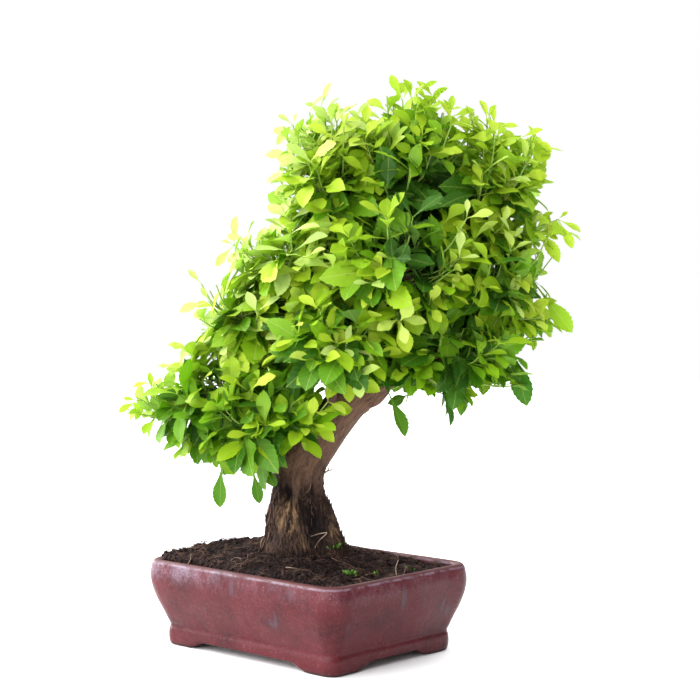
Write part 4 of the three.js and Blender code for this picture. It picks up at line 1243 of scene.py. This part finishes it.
# The filling shoots.
draws = Draws(SEED * 3)
for order, pad in enumerate(PADS):
    low_pad = pad.middle[2] < LOW_PAD_UNDER
    for inner, count in enumerate(FILL_COUNTS):
        for index in range(count):
            heading = direction(index, count, order * PAD_SPIN + FILL_SPIN + inner)
            heading = unit(heading + [draws.between(-FILL_JITTER, FILL_JITTER) for _ in range(3)])
            tip = heading * pad.radii * draws.between(*FILL_DEPTHS[inner]) + pad.middle
            for _ in range(FILL_PULLS):
                clear = CLEAR_OF_EDGE_LEFT if tip[0] < LEFT_PART else CLEAR_OF_EDGE
                if past_edge(tip) > clear or (in_hollow(tip) and not inner):
                    tip += (np.array(pad.middle) - tip) * FILL_PULL
            if heading[2] < FILL_LOWEST[low_pad] or buried(tip, pad, FILL_BURIED[inner]):
                continue
            line = through(shoot_to(pad, tip), LINE_STEPS)
            droop, open_up = FILL_DROOP[low_pad], draws.between(*FILL_OPEN)
            kept = []
            for leaf in grow_leaves(line, tip, draws, FILL_LEAVES[inner], droop, open_up):
                past = blade_past_edge(leaf)
                in_band = past > -EDGE_BAND and leaf.at[0] < EDGE_BAND_UP_TO
                thinned = in_band and draws.between(0, 1) < EDGE_THINNED
                if past < FILL_LEEWAY and not thinned:
                    kept.append(leaf)
            shoots[pad.name].append((line, kept, INNER_AGE if inner else draws.between(*SHOOT_AGES)))

# The shoots that line the edge, and the outlying ones.
rim, spot = [], 0.0
for start, end in zip(CROWN_EDGE, np.roll(CROWN_EDGE, -1, 0)):
    length = np.linalg.norm(end - start)
    along = (end - start) / length
    inwards = np.array([along[1], -along[0]])
    while spot < length:
        across, up = start + along * spot + inwards * draws.between(*RIM_INSET)
        depth = draws.between(-RIM_DEPTH, RIM_DEPTH * RIM_BACK)
        rim.append(((across, depth, up), RIM_DROOP, 0, FILL_LEEWAY))
        if up > TOP_ROW_ABOVE:
            for insets in TOP_ROWS:
                across, up = start + along * spot + inwards * draws.between(*insets)
                depth = draws.between(-RIM_DEPTH * TOP_ROW_FRONT, RIM_DEPTH)
                rim.append(((across, depth, up), RIM_DROOP, TOP_ROW_OLDER, FILL_LEEWAY))
        spot += RIM_STEP
    spot -= length
rim += [(*outlier, OUTLIER_LEEWAY) for outlier in OUTLIERS]
for tip, droop, older_and_shaded, leeway in rim:
    tip = np.array(tip, float)
    pad = nearest_pad(tip)
    line = through(shoot_to(pad, tip), LINE_STEPS)
    open_up = draws.between(*RIM_OPEN)
    leaves = grow_leaves(line, tip, draws, EDGE_LEAVES, droop, open_up, RIM_FRONTAL)
    leaves = [leaf for leaf in leaves if blade_past_edge(leaf) < leeway]
    shoots[pad.name].append((line, leaves, older_and_shaded))

for end, older_and_shaded, *tips in SPRAYS:
    end = np.array(end, float)
    pad = nearest_pad(end)
    leaves = []
    for across, up in tips:
        blade = np.array([across, end[1] + draws.between(*SPRAY_DEPTH), up]) - end
        length = np.linalg.norm(blade)
        face = unit(np.array([draws.between(*SPRAY_SIDEWAYS), -1, draws.between(*SPRAY_UPWARDS)]))
        face = unit(face - blade * face.dot(blade) / length**2)
        leaves.append(Leaf(end, blade / length, face, length * SPRAY_LENGTH, SPRAY_LEAF))
    shoots[pad.name].append((through(shoot_to(pad, end), LINE_STEPS), leaves, older_and_shaded))

# The leaf: its toothed edge from stalk to tip and its midrib, as shares of its length.
LEAF_EDGE = [
    (0, 0.018), (0.12, 0.021), (0.22, 0.033), (0.33, 0.064), (0.43, 0.112), (0.52, 0.163),
    (0.6, 0.205), (0.622, 0.188), (0.69, 0.22), (0.715, 0.195), (0.775, 0.202), (0.797, 0.172),
    (0.855, 0.163), (0.875, 0.13), (0.925, 0.104), (0.942, 0.07), (1, 0),
]
LEAF_RIB = [0, 0.12, 0.28, 0.44, 0.58, 0.72, 0.86, 1]
RIB_ABOVE, RIB_BELOW, RIB_TAPER, RIB_LEEWAY = 0.003, 0.012, 0.7, 0.02
WAVES_ALONG, WAVES_REACH = 17, 0.25
# Each shape's name, width, fold, fall of the tip, twist and waviness.
LEAF_SHAPES = [
    ("leaf_0_flat", 1.06, 0.18, 0.16, 0.1, 0.012), ("leaf_1_folded", 0.92, 0.5, 0.12, -0.15, 0.01),
    ("leaf_2_curled", 1.0, 0.28, 0.42, 0.2, 0.015), ("leaf_3_twisted", 0.9, 0.3, 0.24, 0.7, 0.02),
    ("leaf_4_wavy", 1.14, 0.12, 0.3, -0.4, 0.04), ("leaf_5_young", 0.74, 0.5, 0.1, 0.25, 0.008),
]
YOUNG_SHAPE = 5  # the others are old enough for any leaf
tip_at, rib_rows, outline_points = len(LEAF_EDGE) - 1, len(LEAF_RIB) - 1, 2 * len(LEAF_EDGE) - 1


def edge_ids(half):
    """The points of one half's edge from stalk to tip; both halves share the tip's."""
    return [i + half * len(LEAF_EDGE) if i < tip_at else tip_at for i in range(len(LEAF_EDGE))]


def leaf_faces():
    """The leaf's faces, from its edges to its rib, and whether each is on the leaf's underside."""
    faces, sides = [], []
    for half in (0, 1):
        edge = edge_ids(half)
        for under in (0, 1):
            rib = [outline_points + under * rib_rows + i for i in range(rib_rows)] + [tip_at]
            i = j = 0
            while i < tip_at or j < rib_rows:
                step_edge = j >= rib_rows or (
                    i < tip_at and LEAF_EDGE[i + 1][0] <= LEAF_RIB[j + 1] + RIB_LEEWAY
                )
                if i < tip_at and step_edge:
                    face = [rib[j], edge[i], edge[i + 1]]
                    i += 1
                else:
                    face = [rib[j], edge[i], rib[j + 1]]
                    j += 1
                if len(set(face)) == 3:
                    faces.append(face[::-1] if half ^ under else face)
                    sides.append(under)
    # The stalk's end, cut across.
    upper, lower = outline_points, outline_points + rib_rows
    return faces + [[upper, len(LEAF_EDGE), lower], [upper, lower, 0]], sides + [1, 1]


def bent(along, across, lift, width, fold, fall, twist, wave):
    """A point of the flat leaf, on the leaf as it is folded, twisted and fallen."""
    ripple = wave * math.sin(WAVES_ALONG * along) * abs(across) / WAVES_REACH
    x, z = across * width, fold * abs(across) * width + ripple + lift
    c, s = math.cos(twist * along), math.sin(twist * along)
    return x * c - z * s, along, x * s + z * c - fall * along**2


blade = [(a, w, 0) for a, w in LEAF_EDGE[:-1]] + [(1, 0, 0)] + [(a, -w, 0) for a, w in LEAF_EDGE[:-1]]
blade += [(a, 0, RIB_ABOVE * (1 - a)) for a in LEAF_RIB[:-1]]
blade += [(a, 0, -RIB_BELOW * (1 - RIB_TAPER * a)) for a in LEAF_RIB[:-1]]
faces, sides = leaf_faces()
on_blade = [(blade[i][1], blade[i][0], under) for face, under in zip(faces, sides) for i in face]
margin = {
    tuple(sorted(pair)) for half in (0, 1) for pair in zip(edge_ids(half)[:-1], edge_ids(half)[1:])
}
leaf_shapes = bpy.data.collections.new("leaf_shapes")
for name, *bends in LEAF_SHAPES:
    mesh = new_mesh(name, [bent(*spot, *bends) for spot in blade], faces)
    write_attribute(mesh, "blade", "FLOAT_VECTOR", np.array(on_blade, float), "CORNER")
    is_margin = [tuple(sorted(edge.vertices)) in margin for edge in mesh.edges]
    write_attribute(mesh, "sharp_edge", "BOOLEAN", is_margin, "EDGE")
    leaf_shapes.objects.link(bpy.data.objects.new(name, mesh))

# Leaf greens, from the youngest to the oldest: up to which age, and what light through it takes on.
LEAF_GREENS = [
    ("young_leaf", 0.26, (0.51, 0.70, 0.13)), ("grown_leaf", 0.56, (0.35, 0.61, 0.014)),
    ("old_leaf", 2.0, (0.11, 0.34, 0.012)),
]
# The ramp's first two stops, for ages below 0, are pale whitish limes that the leaves reach mostly through
# the painted light of the left side: they paint the washed-out highlight of the lit leaves there.
AGE_RAMP = [
    (0.0, (0.63, 0.78, 0.22)), (0.15, (0.54, 0.67, 0.04)), (0.34, (0.35, 0.54, 0.009)),
    (0.54, (0.165, 0.37, 0.007)), (0.77, (0.062, 0.21, 0.006)), (1.0, (0.022, 0.088, 0.006)),
]
RAMP_STARTS_AT = -0.25  # the age at the ramp's left end; at its right end it is 1
RIB_GREEN, UNDERSIDE_GREEN, VEINS, LIGHT_THROUGH = (0.6, 0.7, 0.16), (0.28, 0.42, 0.07), 9.5, 0.45
leaf_greens = []
for name, oldest, glow in LEAF_GREENS:
    green, tree, shader = new_material(name, Specular_IOR_Level=0.32)
    across, along, under = tree.split(tree.attribute("blade", "Vector"))
    across = across.math("ABSOLUTE")
    mottle = tree.noise(tree.place(), 160, 3)
    shade = tree.attribute("age") + 0.16 * (tree.attribute("tint") - 0.5) + 0.14 * (mottle - 0.5)
    on_ramp = {0: (shade - RAMP_STARTS_AT) / (1 - RAMP_STARTS_AT)}
    ramp = tree.add("ShaderNodeValToRGB", {"stops": AGE_RAMP}, on_ramp, "Color")
    rib = across.rise(0.011, 0.003)
    slant = ((along - 0.95 * across) * VEINS).math("FRACT")
    vein = (slant - 0.5).math("ABSOLUTE").rise(0.13, 0.03) * across.rise(0.24, 0.16)
    colour = tree.mix(rib * 0.42 + vein * 0.1, ramp, RIB_GREEN)
    colour = tree.mix(under * 0.25, colour, UNDERSIDE_GREEN)
    bump = tree.bump(0.35, 0.0008, (rib + 0.6 * vein) * (2 * under - 1) + 0.25 * mottle)
    rough = 0.42 + 0.2 * under + 0.12 * mottle
    feed(tree, shader, Base_Color=colour, Roughness=rough, Normal=bump)
    through_leaf = tree.add("ShaderNodeBsdfTranslucent", None, {"Color": (*glow, 1)})
    blade_itself = Value(tree, shader.outputs[0])
    both = tree.add("ShaderNodeMixShader", None, {0: LIGHT_THROUGH, 1: blade_itself, 2: through_leaf})
    feed(tree, tree.tree.nodes["Material Output"], Surface=both)
    leaf_greens.append((green, oldest))

STEM_YOUNG, STEM_STREAK, STEM_WOODY = (0.19, 0.31, 0.035), (0.12, 0.22, 0.025), (0.13, 0.075, 0.045)
stem_green, tree, shader = new_material("green_stem", Roughness=0.55)
streaks = tree.noise(tree.place(), 300, 3)
colour = tree.mix(streaks.rise(0.4, 0.7) * 0.5, STEM_YOUNG, STEM_STREAK)
colour = tree.mix(tree.attribute("woody").rise(0.3, 0.7), colour, STEM_WOODY)
feed(tree, shader, Base_Color=colour, Normal=tree.bump(0.4, 0.0006, streaks))

# The growth tree: leaf shapes on loose points, and round stems along the edges.
growth, growth_sockets, tree, given = geometry_tree("leafy_shoots", (
    ("Geometry", "Geometry"), ("Leaf Shapes", "Collection"), ("Size Jitter", "Float"),
    ("Stem Sides", "Int"), ("Seed", "Int"),
))
is_leaf = tree.named("BOOLEAN", "leaf")
parts = tree.add("GeometryNodeSeparateGeometry", {"domain": "POINT"}, {
    "Geometry": given, "Selection": is_leaf,
})
turned = tree.add("FunctionNodeAxesToRotation", {"primary_axis": "Y", "secondary_axis": "Z"}, {
    "Primary Axis": tree.named("FLOAT_VECTOR", "aim"),
    "Secondary Axis": tree.named("FLOAT_VECTOR", "face"),
})
size_jitter = given.out("Size Jitter")
jitter = random_value(tree, 1 - size_jitter, 1 + size_jitter, given.out("Seed"))
grown = on_points(tree, parts, given.out("Leaf Shapes"), {
    "Instance Index": tree.named("INT", "shape"), "Rotation": turned,
    "Scale": tree.named("FLOAT", "size") * jitter,
})
lines = tree.add("GeometryNodeMeshToCurve", None, {"Mesh": parts.out("Inverted")})
ring = {"Resolution": given.out("Stem Sides"), "Radius": 1.0}
round_stems = tree.add("GeometryNodeCurveToMesh", None, {
    "Curve": lines, "Profile Curve": tree.add("GeometryNodeCurvePrimitiveCircle", None, ring),
    "Scale": tree.named("FLOAT", "thick"), "Fill Caps": True,
})
both = tree.add("GeometryNodeJoinGeometry")
for branch in (grown, round_stems):
    tree.tree.links.new(branch.socket, both.socket.node.inputs[0])
body = tree.add("GeometryNodeRealizeInstances", None, {"Geometry": both})
body = tree.add("GeometryNodeSetMaterial", None, {"Geometry": body, "Material": stem_green})
for green, oldest in leaf_greens[::-1]:
    ages_and_light = {0: tree.named("FLOAT", "age"), 1: oldest}
    younger = tree.add("FunctionNodeCompare", {"data_type": "FLOAT", "operation": "LESS_THAN"}, ages_and_light)
    chosen = tree.add("FunctionNodeBooleanMath", {"operation": "AND"}, {0: is_leaf, 1: younger})
    body = tree.add("GeometryNodeSetMaterial", None, {
        "Geometry": body, "Selection": chosen, "Material": green,
    })
ends_in(tree, body)

TONE_AGE, TONE_SLOTS = (0.0, -0.02, 0.1), ("leaf_light", "leaf_mid", "leaf_dark")
FIRST_LEAF_AGE, AGE_ALONG, LEAF_CLEAR = 0.6, 0.5, 0.3
SIZE_JITTER, STEM_SIDES, YOUNG_UNDER, YOUNG_CHANCE = 0.05, 5, 22, 0.7
# A stem's radius and how woody it is, from the limb to the tip.
STEM_RADII = (0, 0.33, 1), (2.2, 1.2, 0.65)
STEM_WOOD = (0, 0.3, 0.55), (1, 0.8, 0)
box_low, box_high = np.array(cad_low) / MM - REACH_PAST_BOX, np.array(cad_high) / MM + REACH_PAST_BOX
draws = Draws(SEED * 7)
for order, pad in enumerate(PADS):
    points, edges, thick, woody, kept = [], [], [], [], []
    for line, leaves, older_and_shaded in shoots[pad.name]:
        start = len(points)
        points += list(line)
        edges += [(start + i, start + i + 1) for i in range(len(line) - 1)]
        share = np.linspace(0, 1, len(line))
        thick += list(np.interp(share, *STEM_RADII) * MM)
        woody += list(np.interp(share, *STEM_WOOD))
        for leaf in leaves:
            tip = to_row(leaf.at + leaf.axis * leaf.length)[0]
            if (tip < box_low).any() or (tip > box_high).any():
                draws.between(0, 1)
                continue
            middle = leaf.at + leaf.axis * leaf.length * 0.5
            # A leaf's age sets its green; painted light and shade shift it below.
            age = FIRST_LEAF_AGE - AGE_ALONG * leaf.share + older_and_shaded + TONE_AGE[pad.tone]
            age += draws.between(-LEAF_AGE_JITTER, LEAF_AGE_JITTER)
            # Painted light: leaves on the lit left side and at the right edge are painted paler.
            painted_lit = np.interp(middle[0], PAINTED_LIGHT_ACROSS, (1, 0))
            painted_lit *= np.interp(middle[2], PAINTED_LIGHT_UP, (PAINTED_LIGHT_LEAST, 1))
            age -= PAINTED_LIGHT_LEFT * painted_lit + PAINTED_LIGHT_RIGHT * np.interp(middle[0], PAINTED_LIGHT_RIGHT_ACROSS, (0, 1))
            # Painted shade: a leaf in a hollow takes at least the hollow's dark, old green.
            if in_hollow(middle):
                age = max(age, HOLLOW_PAINTED_SHADE_AGE)
                if draws.between(0, 1) < HOLLOW_THINNED:
                    continue
            kept.append((leaf, age))
    first_leaf, total = len(points), len(points) + len(kept)
    points += [leaf.at + leaf.axis * LEAF_CLEAR for leaf, _ in kept]
    mesh = bpy.data.meshes.new("foliage_" + pad.name)
    mesh.from_pydata((to_row(points) * MM).tolist(), edges, [])
    aim, face, shape = np.zeros((total, 3)), np.zeros((total, 3)), np.zeros(total, int)
    size, age, tint = np.zeros(total), np.zeros(total), np.zeros(total)
    for i, (leaf, leaf_age_and_light) in enumerate(kept, first_leaf):
        aim[i], face[i] = to_row([leaf.axis, leaf.face]) - POT_MIDDLE
        size[i], age[i], tint[i] = leaf.length * MM, leaf_age_and_light, draws.between(0, 1)
        pick = draws.between(0, 1)
        young = leaf.share == SPRAY_LEAF or (leaf.length < YOUNG_UNDER and pick < YOUNG_CHANCE)
        shape[i] = YOUNG_SHAPE if young else int(pick * YOUNG_SHAPE)
    no_stem = [0.0] * len(kept)
    for label, kind, values in (
        ("aim", "FLOAT_VECTOR", aim), ("face", "FLOAT_VECTOR", face), ("size", "FLOAT", size),
        ("age", "FLOAT", age), ("tint", "FLOAT", tint), ("shape", "INT", shape),
        ("leaf", "BOOLEAN", np.arange(total) >= first_leaf),
        ("thick", "FLOAT", thick + no_stem), ("woody", "FLOAT", woody + no_stem),
    ):
        write_attribute(mesh, label, kind, values)
    piece = placed("foliage_" + pad.name, mesh)
    grow(piece, growth, growth_sockets, {
        "Leaf Shapes": leaf_shapes, "Size Jitter": SIZE_JITTER, "Stem Sides": STEM_SIDES,
        "Seed": SEED + order,
    })
    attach(piece, "root")
    if covered[pad.name]:
        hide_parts(*covered[pad.name])


# The studio: a plain pale floor that runs on into a white surround, soft lights from above and
# from the front left, and the camera a little above the rim, facing the pot's near corner.
CAMERA_LENS, CAMERA_SENSOR = 88.46, 36
FLOOR_REACH, FLOOR_GREYS = 4000, ((0.86, 0.86, 0.87), (0.9, 0.9, 0.9))
SKY_LEFT, SKY_RIGHT, SKY_COLOUR = 2.4, 0.34, (0.97, 0.98, 1, 1)
# Each light's name, where it comes from as right, towards the camera and up, degrees wide, strength.
LIGHTS = [
    ("key", (-0.65, 0.8, 0.55), 50, 2.3), ("rim", (-0.85, -0.5, 0.6), 55, 5.4),
    ("back", (0.55, -0.85, 0.6), 50, 3.0),
]


def facing(direction):
    """The turn of a camera or a light that looks against a direction."""
    return Vector(direction).to_track_quat("Z", "Y").to_euler()


right = np.array([math.cos(TREE_TURN), math.sin(TREE_TURN), 0])
level = math.cos(SEEN_RISE)
back = np.array([math.sin(TREE_TURN) * level, -math.cos(TREE_TURN) * level, math.sin(SEEN_RISE)])
target = (POT_MIDDLE + right * SEEN_MIDDLE[0] + (0, 0, SEEN_MIDDLE[1])) * MM
camera = placed("camera", bpy.data.cameras.new("camera"))
camera.data.lens, camera.data.sensor_width = CAMERA_LENS, CAMERA_SENSOR
camera.location = target + back * SEEN_FROM * MM
camera.rotation_euler = facing(back)
bpy.context.scene.camera = camera

corners = [(x * FLOOR_REACH, y * FLOOR_REACH, 0) for x, y in ((-1, -1), (1, -1), (1, 1), (-1, 1))]
floor = new_piece("floor", corners, [(0, 1, 2, 3)])
pale, tree, shader = new_material("pale_floor", Roughness=0.9, Specular_IOR_Level=0.1)
feed(tree, shader, Base_Color=tree.mix(tree.noise(tree.place(), 3, 2), *FLOOR_GREYS))
floor.data.materials.append(pale)

world = bpy.data.worlds.new("surround")
world.use_nodes = True
tree = Tree(world.node_tree)
sides = {0: tree.add("ShaderNodeTexCoord", out="Generated"), 1: tuple(-right)}
leftness = tree.add("ShaderNodeVectorMath", {"operation": "DOT_PRODUCT"}, sides, "Value")
strength = SKY_RIGHT + (SKY_LEFT - SKY_RIGHT) * leftness.rise(-0.8, 0.8)
soft = tree.add("ShaderNodeBackground", None, {"Color": SKY_COLOUR, "Strength": strength})
white = tree.add("ShaderNodeBackground", None, {"Color": (1, 1, 1, 1), "Strength": 1.0})
seen = tree.add("ShaderNodeLightPath", out="Is Camera Ray")
both = tree.add("ShaderNodeMixShader", None, {0: seen, 1: soft, 2: white})
feed(tree, tree.tree.nodes["World Output"], Surface=both)
bpy.context.scene.world = world
for name, offset, width, strength in LIGHTS:
    light = placed(name, bpy.data.lights.new(name, "SUN"))
    light.data.angle, light.data.energy = math.radians(width), strength
    light.visible_glossy = name != "back"
    front = np.array([back[0], back[1], 0])
    light.rotation_euler = facing(right * offset[0] + front * offset[1] + np.array([0, 0, offset[2]]))
bpy.context.scene.view_settings.view_transform = "Standard"
